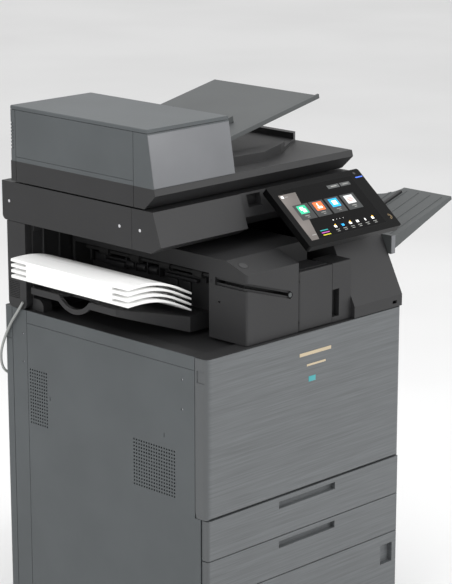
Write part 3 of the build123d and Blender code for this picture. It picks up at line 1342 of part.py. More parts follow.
def bend_radii(route):
    """Radius of each bend, as large as its shorter straight run allows."""
    radii = []
    for before, corner, after in zip(route, route[1:], route[2:]):
        run_in = [b - a for a, b in zip(before, corner)]
        run_out = [b - a for a, b in zip(corner, after)]
        length_in = hypot(*run_in)
        length_out = hypot(*run_out)
        cosine = sum(a * b for a, b in zip(run_in, run_out)) / (length_in * length_out)
        radii.append(BEND_SHARE * min(length_in, length_out) / tan(acos(cosine) / 2))
    return radii


def finisher_cable():
    """Cable that hangs from the pillar, past the rear corner, into the rear cover."""
    radii = bend_radii(CABLE_ROUTE)
    path = FilletPolyline(*CABLE_ROUTE, radius=radii)
    section = Plane(origin=path @ 0, z_dir=path % 0) * Circle(CABLE_R)
    tube = sweep(section, path=path)
    share = tube.volume / (pi * CABLE_R ** 2 * path.length)
    print("cable bends", [round(r) for r in radii], "length", round(path.length), "fill", round(share, 3))
    return tube


parts["finisher_cable"] = finisher_cable()

os.makedirs("parts", exist_ok=True)
for name, shape in parts.items():
    placed = Pos(-ORIGIN_X, -ORIGIN_Y, 0) * shape
    placed.label = name
    export_step(placed, "parts/" + name + ".step")
print(len(parts), "nodes")
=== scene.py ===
"""Looks of an office photocopier: finishes for every moulded and metal piece, the lit touch panel,
printed sets in the exit bay, small trim, and a plain studio. Sizes are in metres."""

import json
import math

import bmesh
import bpy
from mathutils import Matrix, Vector


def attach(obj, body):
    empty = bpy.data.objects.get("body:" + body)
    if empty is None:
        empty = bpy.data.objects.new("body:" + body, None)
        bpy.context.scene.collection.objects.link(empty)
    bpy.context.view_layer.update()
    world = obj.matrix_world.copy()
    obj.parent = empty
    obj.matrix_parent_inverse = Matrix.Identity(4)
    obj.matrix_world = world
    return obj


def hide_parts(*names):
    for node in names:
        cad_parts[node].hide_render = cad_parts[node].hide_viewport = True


bl_info = {
    "name": "Office Copier Finish",
    "version": (1, 0, 0),
    "blender": (4, 5, 0),
    "location": "3D View > Sidebar > Copier",
    "description": "Finishes, lit panel, printed sets and studio for an office copier",
    "category": "Object",
}

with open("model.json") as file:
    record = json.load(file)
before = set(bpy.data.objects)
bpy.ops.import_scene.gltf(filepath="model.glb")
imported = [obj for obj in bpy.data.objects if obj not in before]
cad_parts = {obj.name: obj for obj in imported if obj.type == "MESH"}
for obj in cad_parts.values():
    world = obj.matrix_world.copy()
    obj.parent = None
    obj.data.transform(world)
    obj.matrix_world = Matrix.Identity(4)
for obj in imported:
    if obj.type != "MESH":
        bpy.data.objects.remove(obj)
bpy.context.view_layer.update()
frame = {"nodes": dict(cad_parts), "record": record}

BODY = Vector((-0.073, 0.008, 0.0))      # the body's middle on the floor
LEFT, RIGHT, FRONT = -0.308, 0.308, -0.321
DECK, LID = 0.750, 1.083
MOUTH_WALL = -0.1252                     # face of the wall behind the exit mouth
PANEL_MIDDLE = Vector((0.1331, -0.27098, 0.99503))
PANEL_LEAN = math.radians(39.3)
SCREEN_W, SCREEN_H = 0.227, 0.1285
SCREEN_SHIFT = (-0.018, -0.006)          # lit picture off the panel's middle
TRAY_SLOPE = 17.4                        # degrees, right exit tray
FEEDER_LEAN = 0.171                      # run per rise of the feeder's front
CAMERA_PLACE = Vector((-3.34598, -3.36151, 2.00993))
CAMERA_TURN, CAMERA_RISE, CAMERA_LENS = -45.4915, 14.5408, 135.44
CABLE_ROUTE = [
    (-0.3109, 0.252, 0.768), (-0.316, 0.262, 0.748), (-0.3145, 0.290, 0.716), (-0.314, 0.314, 0.676),
    (-0.314, 0.329, 0.640), (-0.312, 0.330, 0.610), (-0.300, 0.331, 0.590), (-0.284, 0.3238, 0.580),
]


class CopierColours(bpy.types.PropertyGroup):
    """Colours of the main mouldings."""

    side: bpy.props.FloatVectorProperty(
        name="Side covers", description="Colour of the body's side covers", subtype="COLOR",
        size=3, min=0.0, max=1.0, default=(0.068, 0.076, 0.080))
    front: bpy.props.FloatVectorProperty(
        name="Front cover", description="Middle colour of the streaked front cover", subtype="COLOR",
        size=3, min=0.0, max=1.0, default=(0.088, 0.094, 0.098))
    charcoal: bpy.props.FloatVectorProperty(
        name="Charcoal mouldings", description="Colour of the scanner, finisher and column", subtype="COLOR",
        size=3, min=0.0, max=1.0, default=(0.0170, 0.0170, 0.0178))
    feeder: bpy.props.FloatVectorProperty(
        name="Feeder panel", description="Colour of the document feeder's pale front panel", subtype="COLOR",
        size=3, min=0.0, max=1.0, default=(0.135, 0.139, 0.147))
    tray: bpy.props.FloatVectorProperty(
        name="Trays", description="Colour of the right exit tray and the document tray", subtype="COLOR",
        size=3, min=0.0, max=1.0, default=(0.064, 0.069, 0.070))


class CopierSizes(bpy.types.PropertyGroup):
    """Sizes of the small pieces."""

    soft_edge: bpy.props.FloatProperty(
        name="Soft edge", description="Radius of the soft highlight along moulded edges", unit="LENGTH",
        default=0.0012, min=0.0, max=0.01)
    sheet_arch: bpy.props.FloatProperty(
        name="Sheet arch", description="Rise of the printed sets between their two ends", unit="LENGTH",
        default=0.016, min=0.0, max=0.03)
    badge_width: bpy.props.FloatProperty(
        name="Badge width", description="Width of the plain badge on the front cover", unit="LENGTH",
        default=0.100, min=0.01, max=0.2)


# ------------------------------------------------------------------ finishes
finishes = {}


def start_finish(name):
    """Empty node material: (material, nodes, links, shader, coordinates)."""
    material = bpy.data.materials.new(name)
    material.use_nodes = True
    nodes, links = material.node_tree.nodes, material.node_tree.links
    shader = nodes["Principled BSDF"]
    place = nodes.new("ShaderNodeTexCoord")
    return material, nodes, links, shader, place


def noise(nodes, links, place, scale, detail=3.0, stretch=None):
    """Noise on the piece's own coordinates, optionally stretched."""
    texture = nodes.new("ShaderNodeTexNoise")
    texture.inputs["Scale"].default_value = scale
    texture.inputs["Detail"].default_value = detail
    if stretch:
        mapping = nodes.new("ShaderNodeMapping")
        mapping.inputs["Scale"].default_value = stretch
        links.new(place.outputs["Object"], mapping.inputs["Vector"])
        links.new(mapping.outputs["Vector"], texture.inputs["Vector"])
    else:
        links.new(place.outputs["Object"], texture.inputs["Vector"])
    return texture


def shade_between(nodes, links, factor, dark, light, low=0.35, high=0.65):
    """Colour that runs from dark to light as the factor goes from low to high."""
    ramp = nodes.new("ShaderNodeValToRGB")
    ramp.color_ramp.elements[0].position = low
    ramp.color_ramp.elements[1].position = high
    ramp.color_ramp.elements[0].color = (*dark, 1.0)
    ramp.color_ramp.elements[1].color = (*light, 1.0)
    links.new(factor, ramp.inputs["Fac"])
    return ramp.outputs["Color"]


def relief(nodes, links, shader, height, strength, distance, edge=0.0):
    """Bump on the shader, over soft edges where an edge radius is given."""
    bump = nodes.new("ShaderNodeBump")
    bump.inputs["Strength"].default_value = strength
    bump.inputs["Distance"].default_value = distance
    links.new(height, bump.inputs["Height"])
    if edge:
        soft = nodes.new("ShaderNodeBevel")
        soft.samples = 4
        soft.inputs["Radius"].default_value = edge
        links.new(soft.outputs["Normal"], bump.inputs["Normal"])
    links.new(bump.outputs["Normal"], shader.inputs["Normal"])


def uneven_gloss(nodes, links, shader, factor, low, high):
    """Roughness that follows a noise between two values."""
    spread = nodes.new("ShaderNodeMapRange")
    spread.inputs["To Min"].default_value = low
    spread.inputs["To Max"].default_value = high
    links.new(factor, spread.inputs["Value"])
    links.new(spread.outputs["Result"], shader.inputs["Roughness"])


def scaled(colour, factor):
    """Colour times a factor, kept inside 0 to 1."""
    return tuple(min(1.0, max(0.0, channel * factor)) for channel in colour)


def moulded(name, colour, rough=0.5, grain=1400.0, depth=0.10, mottle=0.06, edge=0.0, shine=0.4):
    """Spark-grained plastic moulding with a slight cloudiness."""
    material, nodes, links, shader, place = start_finish(name)
    cloud = noise(nodes, links, place, 7.0, 4.0)
    tint = shade_between(nodes, links, cloud.outputs["Fac"], scaled(colour, 1 - mottle), scaled(colour, 1 + mottle))
    links.new(tint, shader.inputs["Base Color"])
    shader.inputs["Specular IOR Level"].default_value = shine
    pores = noise(nodes, links, place, grain, 2.0)
    uneven_gloss(nodes, links, shader, pores.outputs["Fac"], rough - 0.08, rough + 0.08)
    relief(nodes, links, shader, pores.outputs["Fac"], depth, 0.0004, edge)
    return material


def streaked(name, colour, edge):
    """Moulding with fine level streaks of uneven length and brightness, darkened on its left side wrap as painted
    shade.
    """
    material, nodes, links, shader, place = start_finish(name)
    fine = noise(nodes, links, place, 1.0, 4.0, (9.0, 9.0, 560.0))
    broad = noise(nodes, links, place, 1.0, 2.0, (2.5, 2.5, 190.0))
    blend = nodes.new("ShaderNodeMix")
    blend.data_type = "FLOAT"
    blend.inputs["Factor"].default_value = 0.35
    links.new(fine.outputs["Fac"], blend.inputs["A"])
    links.new(broad.outputs["Fac"], blend.inputs["B"])
    tint = shade_between(nodes, links, blend.outputs["Result"], scaled(colour, 0.84), scaled(colour, 1.24), 0.36, 0.64)
    # Painted shade: the cover's left side wrap is darkened to 0.80 of its colour, standing in for the face that gets
    # less light.
    split = nodes.new("ShaderNodeSeparateXYZ")
    links.new(place.outputs["Object"], split.inputs["Vector"])
    across = nodes.new("ShaderNodeMapRange")
    across.inputs["From Min"].default_value = BODY.x + LEFT + 0.004
    across.inputs["From Max"].default_value = BODY.x + LEFT + 0.010
    links.new(split.outputs["X"], across.inputs["Value"])
    painted_wrap_shade = nodes.new("ShaderNodeMix")
    painted_wrap_shade.data_type = "RGBA"
    links.new(across.outputs["Result"], painted_wrap_shade.inputs["Factor"])
    painted_wrap_shade.inputs["A"].default_value = (*scaled(colour, 0.80), 1.0)
    links.new(tint, painted_wrap_shade.inputs["B"])
    links.new(painted_wrap_shade.outputs["Result"], shader.inputs["Base Color"])
    uneven_gloss(nodes, links, shader, fine.outputs["Fac"], 0.36, 0.50)
    relief(nodes, links, shader, fine.outputs["Fac"], 0.10, 0.0004, edge)
    return material


def metal(name, colour, rough, stretch=(3.0, 900.0, 900.0)):
    """Plated or brushed metal."""
    material, nodes, links, shader, place = start_finish(name)
    lines = noise(nodes, links, place, 1.0, 3.0, stretch)
    tint = shade_between(nodes, links, lines.outputs["Fac"], scaled(colour, 0.85), scaled(colour, 1.08))
    links.new(tint, shader.inputs["Base Color"])
    shader.inputs["Metallic"].default_value = 1.0
    uneven_gloss(nodes, links, shader, lines.outputs["Fac"], rough - 0.06, rough + 0.1)
    relief(nodes, links, shader, lines.outputs["Fac"], 0.05, 0.0002)
    return material


def rubber(name, colour):
    """Matt rubber with a fine tooth."""
    material, nodes, links, shader, place = start_finish(name)
    tooth = noise(nodes, links, place, 900.0, 3.0)
    tint = shade_between(nodes, links, tooth.outputs["Fac"], scaled(colour, 0.8), scaled(colour, 1.4))
    links.new(tint, shader.inputs["Base Color"])
    shader.inputs["Specular IOR Level"].default_value = 0.3
    uneven_gloss(nodes, links, shader, tooth.outputs["Fac"], 0.72, 0.9)
    relief(nodes, links, shader, tooth.outputs["Fac"], 0.3, 0.0003)
    return material


def clear_glass(name):
    """Platen glass with a faint green tint."""
    material, nodes, links, shader, place = start_finish(name)
    haze = noise(nodes, links, place, 30.0, 3.0)
    uneven_gloss(nodes, links, shader, haze.outputs["Fac"], 0.02, 0.07)
    tint = shade_between(nodes, links, haze.outputs["Fac"], (0.78, 0.86, 0.84), (0.86, 0.92, 0.90))
    links.new(tint, shader.inputs["Base Color"])
    shader.inputs["Transmission Weight"].default_value = 0.9
    shader.inputs["IOR"].default_value = 1.5
    return material


def lit(name, colour, glow, fade=0.15):
    """Part of the lit picture, a little uneven across its width."""
    material, nodes, links, shader, place = start_finish(name)
    drift = noise(nodes, links, place, 22.0, 1.0)
    tint = shade_between(nodes, links, drift.outputs["Fac"], scaled(colour, 1 - fade), scaled(colour, 1 + fade))
    links.new(tint, shader.inputs["Base Color"])
    links.new(tint, shader.inputs["Emission Color"])
    shader.inputs["Emission Strength"].default_value = glow
    shader.inputs["Roughness"].default_value = 0.35
    return material


def sheets(name, colour):
    """Stacked white sheets: fine level lines that show on the stack's edges."""
    material, nodes, links, shader, place = start_finish(name)
    lines = noise(nodes, links, place, 1.0, 3.0, (6.0, 6.0, 1900.0))
    tint = shade_between(nodes, links, lines.outputs["Fac"], scaled(colour, 0.90), colour, 0.3, 0.5)
    links.new(tint, shader.inputs["Base Color"])
    fibre = noise(nodes, links, place, 2200.0, 2.0)
    uneven_gloss(nodes, links, shader, fibre.outputs["Fac"], 0.75, 0.9)
    relief(nodes, links, shader, fibre.outputs["Fac"], 0.05, 0.0001)
    return material


class COPIER_OT_finishes(bpy.types.Operator):
    """Make every finish and give each moulded or metal piece its own."""

    bl_idname = "copier.finishes"
    bl_label = "Finishes"

    def execute(self, context):
        colours = context.scene.copier_colours
        edge = context.scene.copier_sizes.soft_edge
        finishes.update({
            "side_grey": moulded("side_grey", colours.side, 0.48, edge=edge),
            "front_grey": streaked("front_grey", colours.front, edge),
            "light_grey": moulded("light_grey", colours.feeder, 0.45, edge=edge),
            "charcoal": moulded("charcoal", colours.charcoal, 0.52, edge=edge),
            "panel_black": moulded("panel_black", (0.0016, 0.0016, 0.0017), 0.34, 2000.0, 0.05, edge=edge, shine=0.12),
            "screen": moulded("screen", (0.0012, 0.0012, 0.0013), 0.22, 2600.0, 0.01, shine=0.10),
            "steel": metal("steel", (0.62, 0.63, 0.64), 0.34),
            "screw_metal": metal("screw_metal", (0.80, 0.80, 0.82), 0.2, (900.0, 900.0, 900.0)),
            "rubber_black": rubber("rubber_black", (0.018, 0.018, 0.018)),
            "tray_grey": moulded("tray_grey", colours.tray, 0.5, edge=edge),
            "paper": sheets("paper", (0.93, 0.93, 0.92)),
            "platen_glass": clear_glass("platen_glass"),
            "white_mat": moulded("white_mat", (0.80, 0.80, 0.79), 0.7, 600.0, 0.2),
            "cable_grey": moulded("cable_grey", (0.30, 0.31, 0.30), 0.42, 900.0, 0.05),
            "unit_black": moulded("unit_black", (0.014, 0.014, 0.015), 0.5, 1200.0, 0.12),
            "drum_teal": moulded("drum_teal", (0.02, 0.12, 0.14), 0.2, 2000.0, 0.02),
            "toner_plastic": moulded("toner_plastic", (0.32, 0.32, 0.33), 0.45),
            "belt_dark": moulded("belt_dark", (0.02, 0.018, 0.016), 0.25, 2000.0, 0.03),
            "board_green": moulded("board_green", (0.015, 0.10, 0.04), 0.35, 300.0, 0.1, 0.25),
            "key_grey": moulded("key_grey", (0.040, 0.040, 0.041), 0.4),
        })
        for entry in frame["record"]["subparts"]:
            node = frame["nodes"][entry["node"]]
            finish = finishes[entry["material_slot"]]
            if not node.material_slots:
                node.data.materials.append(finish)
            for place in node.material_slots:
                place.material = finish
        return {"FINISHED"}


# ------------------------------------------------------------------ making pieces
def piece(name, mesh, finish, body, smooth=True):
    """Object of a finished bmesh, with its finish and the body it rides on."""
    bmesh.ops.recalc_face_normals(mesh, faces=mesh.faces)
    data = bpy.data.meshes.new(name)
    mesh.to_mesh(data)
    mesh.free()
    data.materials.append(finishes[finish] if finish in finishes else bpy.data.materials[finish])
    if smooth:
        data.shade_smooth()
        data.set_sharp_from_angle(angle=math.radians(35))
    obj = bpy.data.objects.new(name, data)
    bpy.context.scene.collection.objects.link(obj)
    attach(obj, body)
    return obj


def add_bar(mesh, x, y, z, soft=0.0, turn=None):
    """Box between the values of each pair, in body metres, with soft edges if asked."""
    made = bmesh.ops.create_cube(mesh, size=1.0)["verts"]
    size = Matrix.Diagonal((x[1] - x[0], y[1] - y[0], z[1] - z[0], 1.0))
    middle = Vector(((x[0] + x[1]) / 2, (y[0] + y[1]) / 2, (z[0] + z[1]) / 2))
    place = turn @ Matrix.Translation(middle) if turn else Matrix.Translation(BODY + middle)
    bmesh.ops.transform(mesh, verts=made, matrix=place @ size)
    if soft:
        edges = {edge for vert in made for edge in vert.link_edges}
        bmesh.ops.bevel(mesh, geom=list(edges), offset=soft, affect="EDGES", segments=3, profile=0.5, material=-1)


def add_round(mesh, radius, depth, turn, across=32, soft=0.0):
    """Short cylinder whose axis is the turn's own Z."""
    made = bmesh.ops.create_cone(mesh, cap_ends=True, segments=across, radius1=radius, radius2=radius,
                                 depth=depth, matrix=turn)["verts"]
    if soft:
        edges = {edge for vert in made for edge in vert.link_edges if len(edge.link_faces) == 2
                 and edge.calc_face_angle(0.0) > 1.0}
        bmesh.ops.bevel(mesh, geom=list(edges), offset=soft, affect="EDGES", segments=2, profile=0.5, material=-1)


panel_turn = Matrix.Translation(BODY + PANEL_MIDDLE) @ Matrix.Rotation(PANEL_LEAN, 4, "X")


def on_screen(across, down):
    """Panel coordinates of a place on the picture, given as shares of its width and height."""
    return (SCREEN_SHIFT[0] - SCREEN_W / 2 + across * SCREEN_W,
            SCREEN_SHIFT[1] + SCREEN_H / 2 - down * SCREEN_H)


def screen_plate(mesh, across, down, width, height, lift=0.0, thick=0.00012):
    """Thin plate on the picture, centred at shares across and down, sized in shares."""
    x, y = on_screen(across, down)
    half_w, half_h = width * SCREEN_W / 2, height * SCREEN_H / 2
    add_bar(mesh, (x - half_w, x + half_w), (y - half_h, y + half_h), (lift, lift + thick), turn=panel_turn)


class COPIER_OT_touch_picture(bpy.types.Operator):
    """Lit picture of the touch panel: tiles with plain icons, a row of small keys and level bars."""

    bl_idname = "copier.touch_picture"
    bl_label = "Touch picture"

    def execute(self, context):
        lit("picture_dark", (0.006, 0.006, 0.0065), 0.6)
        lit("picture_tile", (0.020, 0.022, 0.022), 0.8)
        lit("picture_key", (0.045, 0.047, 0.047), 0.8)
        lit("picture_line", (0.22, 0.22, 0.21), 0.8)
        lit("picture_white", (0.72, 0.72, 0.70), 0.9, 0.05)
        lit("picture_green", (0.02, 0.36, 0.20), 0.8)
        lit("picture_orange", (0.80, 0.12, 0.03), 0.8)
        lit("picture_blue", (0.01, 0.34, 0.72), 0.8)
        lit("picture_pale", (0.42, 0.42, 0.42), 0.8)
        lit("picture_red", (0.55, 0.10, 0.07), 0.8)
        lit("picture_yellow", (0.75, 0.42, 0.03), 0.8)
        lit("picture_cyan", (0.01, 0.26, 0.25), 0.8)
        lit("picture_magenta", (0.38, 0.06, 0.32), 0.8)
        lit("picture_lime", (0.42, 0.40, 0.02), 0.8)
        lit("indicator_blue", (0.05, 0.12, 0.55), 1.6)
        self.side_band()
        mesh = bmesh.new()
        for middle, width in ((0.177, 0.206), (0.392, 0.195), (0.613, 0.192), (0.836, 0.198)):
            screen_plate(mesh, middle, 0.42, width, 0.33, 0.0002)
        piece("screen_tiles", mesh, "picture_tile", "panel", False)
        mesh = bmesh.new()
        screen_plate(mesh, 0.755, 0.046, 0.165, 0.075, 0.0002)
        screen_plate(mesh, 0.925, 0.046, 0.140, 0.075, 0.0002)
        piece("screen_keys", mesh, "picture_key", "panel", False)
        self.tile_icons()
        self.lower_row()
        self.captions()
        return {"FINISHED"}

    def side_band(self):
        """Warm band down the picture's left side, wider at the top."""
        material = lit("picture_band", (0.090, 0.080, 0.074), 0.8, 0.45)
        material.node_tree.nodes["Noise Texture"].inputs["Scale"].default_value = 9.0
        mesh = bmesh.new()
        screen_plate(mesh, 0.12, 0.5, 0.24, 1.0, 0.0001)
        for vert in mesh.verts:
            local = panel_turn.inverted() @ vert.co
            if local.x > SCREEN_SHIFT[0] - SCREEN_W / 2 + 0.02 and local.y < 0:
                local.x -= 0.14 * SCREEN_W
                vert.co = panel_turn @ local
        piece("screen_side_band", mesh, "picture_band", "panel", False)

    def tile_icons(self):
        """A plain coloured icon in each tile, with a simple white figure on it."""
        places = (("green", 0.172), ("orange", 0.396), ("blue", 0.616), ("pale", 0.838))
        for colour, middle in places:
            mesh = bmesh.new()
            screen_plate(mesh, middle, 0.372, 0.118, 0.175, 0.0004)
            piece("screen_icon_" + colour, mesh, "picture_" + colour, "panel", False)
        mesh = bmesh.new()
        for across, down, width, height in (
                (0.163, 0.352, 0.045, 0.070), (0.184, 0.396, 0.045, 0.070), (0.388, 0.350, 0.014, 0.080),
                (0.400, 0.400, 0.060, 0.040), (0.596, 0.372, 0.016, 0.090), (0.618, 0.372, 0.016, 0.090),
                (0.640, 0.372, 0.016, 0.090), (0.616, 0.335, 0.060, 0.014)):
            screen_plate(mesh, across, down, width, height, 0.0006)
        piece("screen_icon_figures", mesh, "picture_white", "panel", False)
        mesh = bmesh.new()
        for row in range(3):
            screen_plate(mesh, 0.838, 0.345 + row * 0.030, 0.075, 0.010, 0.0006)
        piece("screen_icon_rows", mesh, "picture_red", "panel", False)

    def lower_row(self):
        """Row of small keys, page dots, and the three level bars."""
        white, yellow, blue = bmesh.new(), bmesh.new(), bmesh.new()
        for index, across in enumerate((0.409, 0.512, 0.620, 0.722, 0.833, 0.942)):
            if index != 1:
                screen_plate(white, across, 0.835, 0.034 if index != 4 else 0.016, 0.048, 0.0004)
            else:
                screen_plate(blue, across, 0.838, 0.036, 0.044, 0.0004)
            if index in (0, 2, 5):
                screen_plate(yellow, across + 0.008, 0.806, 0.016, 0.030, 0.0006)
        for index in range(4):
            screen_plate(white, 0.438 + 0.047 * index, 0.703, 0.011 if index == 0 else 0.006,
                         0.018 if index == 0 else 0.010, 0.0004)
        screen_plate(white, 0.036, 0.050, 0.032, 0.052, 0.0004)
        piece("screen_small_keys", white, "picture_white", "panel", False)
        piece("screen_small_marks", yellow, "picture_yellow", "panel", False)
        piece("screen_small_blue", blue, "picture_blue", "panel", False)
        for colour, down in (("cyan", 0.857), ("magenta", 0.905), ("lime", 0.952)):
            mesh = bmesh.new()
            screen_plate(mesh, 0.236, down, 0.105, 0.018, 0.0004)
            piece("screen_level_" + colour, mesh, "picture_" + colour, "panel", False)

    def captions(self):
        """Plain grey lines where captions stand."""
        mesh = bmesh.new()
        for across in (0.172, 0.396, 0.616, 0.838):
            screen_plate(mesh, across, 0.505, 0.060, 0.012, 0.0004)
            screen_plate(mesh, across + 0.006, 0.540, 0.034, 0.010, 0.0004)
        for across in (0.409, 0.512, 0.620, 0.722, 0.833, 0.942):
            screen_plate(mesh, across, 0.905, 0.052, 0.011, 0.0004)
            screen_plate(mesh, across, 0.940, 0.038, 0.010, 0.0004)
        for across in (0.760, 0.930):
            screen_plate(mesh, across, 0.046, 0.080, 0.016, 0.0006)
        screen_plate(mesh, 0.085, 0.060, 0.045, 0.012, 0.0004)
        screen_plate(mesh, 0.080, 0.900, 0.060, 0.012, 0.0004)
        piece("screen_captions", mesh, "picture_line", "panel", False)


class COPIER_OT_panel_marks(bpy.types.Operator):
    """Indicator bar and the reader's mark beside the picture."""

    bl_idname = "copier.panel_marks"
    bl_label = "Panel marks"

    def execute(self, context):
        mesh = bmesh.new()
        add_bar(mesh, (0.1225, 0.1445), (0.0610, 0.0636), (0.0, 0.0004), turn=panel_turn)
        piece("panel_indicator", mesh, "indicator_blue", "panel", False)
        moulded("reader_gold", (0.30, 0.22, 0.12), 0.4)
        mesh = bmesh.new()
        middle = panel_turn @ Matrix.Translation((0.132, -0.0565, 0.0002))
        for radius in (0.0034, 0.0062):
            ring = bmesh.ops.create_circle(mesh, cap_ends=False, segments=40, radius=radius, matrix=middle)["verts"]
            edges = list({edge for vert in ring for edge in vert.link_edges})
            wide = bmesh.ops.extrude_edge_only(mesh, edges=edges)["geom"]
            outer = [item for item in wide if isinstance(item, bmesh.types.BMVert)]
            grow = middle @ Matrix.Scale((radius + 0.0009) / radius, 4) @ middle.inverted()
            bmesh.ops.transform(mesh, verts=outer, matrix=grow)
        far = [face for face in mesh.faces if (middle.inverted() @ face.calc_center_median()).x < -0.001]
        bmesh.ops.delete(mesh, geom=far, context="FACES")
        bmesh.ops.solidify(mesh, geom=mesh.faces[:], thickness=0.0003)
        piece("reader_mark", mesh, "reader_gold", "panel", False)
        return {"FINISHED"}


class COPIER_OT_printed_sets(bpy.types.Operator):
    """Printed sets in the exit bay: four long ones with three shorter ones between them, all arched."""

    bl_idname = "copier.printed_sets"
    bl_label = "Printed sets"

    def execute(self, context):
        arch = context.scene.copier_sizes.sheet_arch
        right, width, front, length, inset, pitch = -0.183, 0.184, -0.150, 0.372, 0.049, 0.0061
        stack_foot, end_rise = DECK + 0.0485, 0.042
        mesh = bmesh.new()
        for index in range(7):
            short = inset if index % 2 else 0.0
            made = bmesh.ops.create_grid(mesh, x_segments=26, y_segments=8, size=0.5)["verts"]
            faces = list({face for vert in made for face in vert.link_faces})
            raised = {item for item in bmesh.ops.extrude_face_region(mesh, geom=faces)["geom"]
                      if isinstance(item, bmesh.types.BMVert)}
            for vert in list(made) + list(raised):
                share = 0.5 - vert.co.x
                along = vert.co.y + 0.5
                fan = 0.0010 * share if index % 2 == 0 else 0.0
                high = pitch - 0.0012 + fan if vert in raised else 0.0004 - fan
                if index % 2:
                    high += 0.0008 if vert in raised else -0.0006
                rise = end_rise * share + arch * math.sin(math.pi * share)
                vert.co = BODY + Vector((right - share * width, front + short + along * (length - 2 * short),
                                         stack_foot + index * pitch + rise + high))
        sides = [edge for edge in mesh.edges if len(edge.link_faces) == 2 and edge.calc_face_angle(0.0) > 1.0]
        bmesh.ops.bevel(mesh, geom=sides, offset=0.0008, affect="EDGES", segments=2, profile=0.5, material=-1)
        sets = piece("printed_sets", mesh, "paper", "paper_sets")
        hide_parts("paper_sets")
        return {"FINISHED"}


class COPIER_OT_cable(bpy.types.Operator):
    """Cable that hangs from the rear pillar to the rear cover."""

    bl_idname = "copier.cable"
    bl_label = "Cable"

    def execute(self, context):
        curve = bpy.data.curves.new("hanging_cable", "CURVE")
        curve.dimensions = "3D"
        spline = curve.splines.new("NURBS")
        spline.points.add(len(CABLE_ROUTE) - 1)
        for point, place in zip(spline.points, CABLE_ROUTE):
            point.co = (*(BODY + Vector(place)), 1.0)
        spline.order_u = 3
        spline.use_endpoint_u = True
        curve.bevel_depth = 0.003
        curve.bevel_resolution = 5
        curve.resolution_u = 10
        curve.use_fill_caps = True
        curve.materials.append(finishes["cable_grey"])
        cable = bpy.data.objects.new("hanging_cable", curve)
        context.scene.collection.objects.link(cable)
        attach(cable, "machine")
        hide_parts("finisher_cable")
        return {"FINISHED"}


class COPIER_OT_feeder_trim(bpy.types.Operator):
    """Pale front panel of the document feeder."""

    bl_idname = "copier.feeder_trim"
    bl_label = "Feeder trim"

    def execute(self, context):
        lean = math.atan(FEEDER_LEAN)
        turn = Matrix.Translation(BODY + Vector((0.0, FRONT + 0.153, LID))) @ Matrix.Rotation(-lean, 4, "X")
        mesh = bmesh.new()
        add_bar(mesh, (LEFT + 0.0004, LEFT + 0.2376), (-0.0016, 0.004), (0.0006, 0.1120), 0.0012, turn)
        piece("feeder_front_panel", mesh, "light_grey", "lid")
        return {"FINISHED"}


class COPIER_OT_front_trim(bpy.types.Operator):
    """Plain badge plates on the front cover."""

    bl_idname = "copier.front_trim"
    bl_label = "Front trim"

    def execute(self, context):
        half = context.scene.copier_sizes.badge_width / 2
        moulded("badge_gold", (0.46, 0.38, 0.26), 0.3, 2400.0, 0.03)
        moulded("badge_teal", (0.05, 0.28, 0.30), 0.3, 2400.0, 0.03)
        mesh = bmesh.new()
        add_bar(mesh, (0.021 - half, 0.021 + half), (FRONT - 0.0008, FRONT + 0.001), (0.6990, 0.7065), 0.0006)
        piece("plain_badge", mesh, "badge_gold", "front_cover")
        mesh = bmesh.new()
        add_bar(mesh, (-0.006, 0.054), (FRONT - 0.0006, FRONT + 0.001), (0.6745, 0.6790), 0.0004)
        piece("plain_plate", mesh, "badge_gold", "front_cover")
        mesh = bmesh.new()
        add_bar(mesh, (0.000, 0.022), (FRONT - 0.0006, FRONT + 0.001), (0.6390, 0.6510), 0.0004)
        piece("plain_tag", mesh, "badge_teal", "front_cover")
        return {"FINISHED"}


class COPIER_OT_exit_works(bpy.types.Operator):
    """Ribs, guides and paddles behind the exit mouth, and fittings on the bay's back wall."""

    bl_idname = "copier.exit_works"
    bl_label = "Exit works"

    def execute(self, context):
        mesh = bmesh.new()
        wall = MOUTH_WALL
        add_bar(mesh, (wall - 0.012, wall), (0.176, 0.222), (0.866, 0.871), 0.0015)
        add_bar(mesh, (wall - 0.012, wall), (0.216, 0.222), (0.840, 0.869), 0.0015)
        add_bar(mesh, (wall - 0.005, wall), (0.178, 0.212), (0.840, 0.858), 0.002)
        add_bar(mesh, (wall - 0.014, wall), (0.107, 0.168), (0.840, 0.852), 0.002)
        add_bar(mesh, (wall - 0.010, wall), (0.104, 0.170), (0.854, 0.859), 0.001)
        add_bar(mesh, (wall - 0.010, wall), (0.104, 0.170), (0.874, 0.880), 0.001)
        for y in (-0.008, 0.030, 0.068, 0.098):
            add_bar(mesh, (wall - 0.015, wall), (y, y + 0.003), (0.840, 0.878), 0.001)
        for y in (0.012, 0.050, 0.086):
            turn = Matrix.Translation(BODY + Vector((wall - 0.009, y, 0.852))) @ Matrix.Rotation(math.pi / 2, 4, "X")
            add_round(mesh, 0.009, 0.026, turn, 36, 0.001)
        add_bar(mesh, (wall - 0.012, wall), (-0.118, -0.021), (0.846, 0.853), 0.0015)
        add_bar(mesh, (wall - 0.008, wall), (-0.129, -0.022), (0.878, 0.882), 0.001)
        for y in (-0.052, -0.092):
            add_bar(mesh, (wall - 0.0045, wall), (y, y + 0.028), (0.810, 0.842), 0.0015)
        add_bar(mesh, (wall - 0.010, wall), (-0.145, -0.139), (0.850, 0.886), 0.001)
        piece("mouth_ribs", mesh, "unit_black", "finisher")
        mesh = bmesh.new()
        for x in (-0.262, -0.215, -0.150):
            add_bar(mesh, (x, x + 0.004), (0.234, 0.2402), (0.790, 0.940), 0.0008)
        add_bar(mesh, (-0.288, -0.100), (0.2365, 0.2402), (0.928, 0.944), 0.0008)
        piece("bay_back_ribs", mesh, "charcoal", "machine")
        return {"FINISHED"}


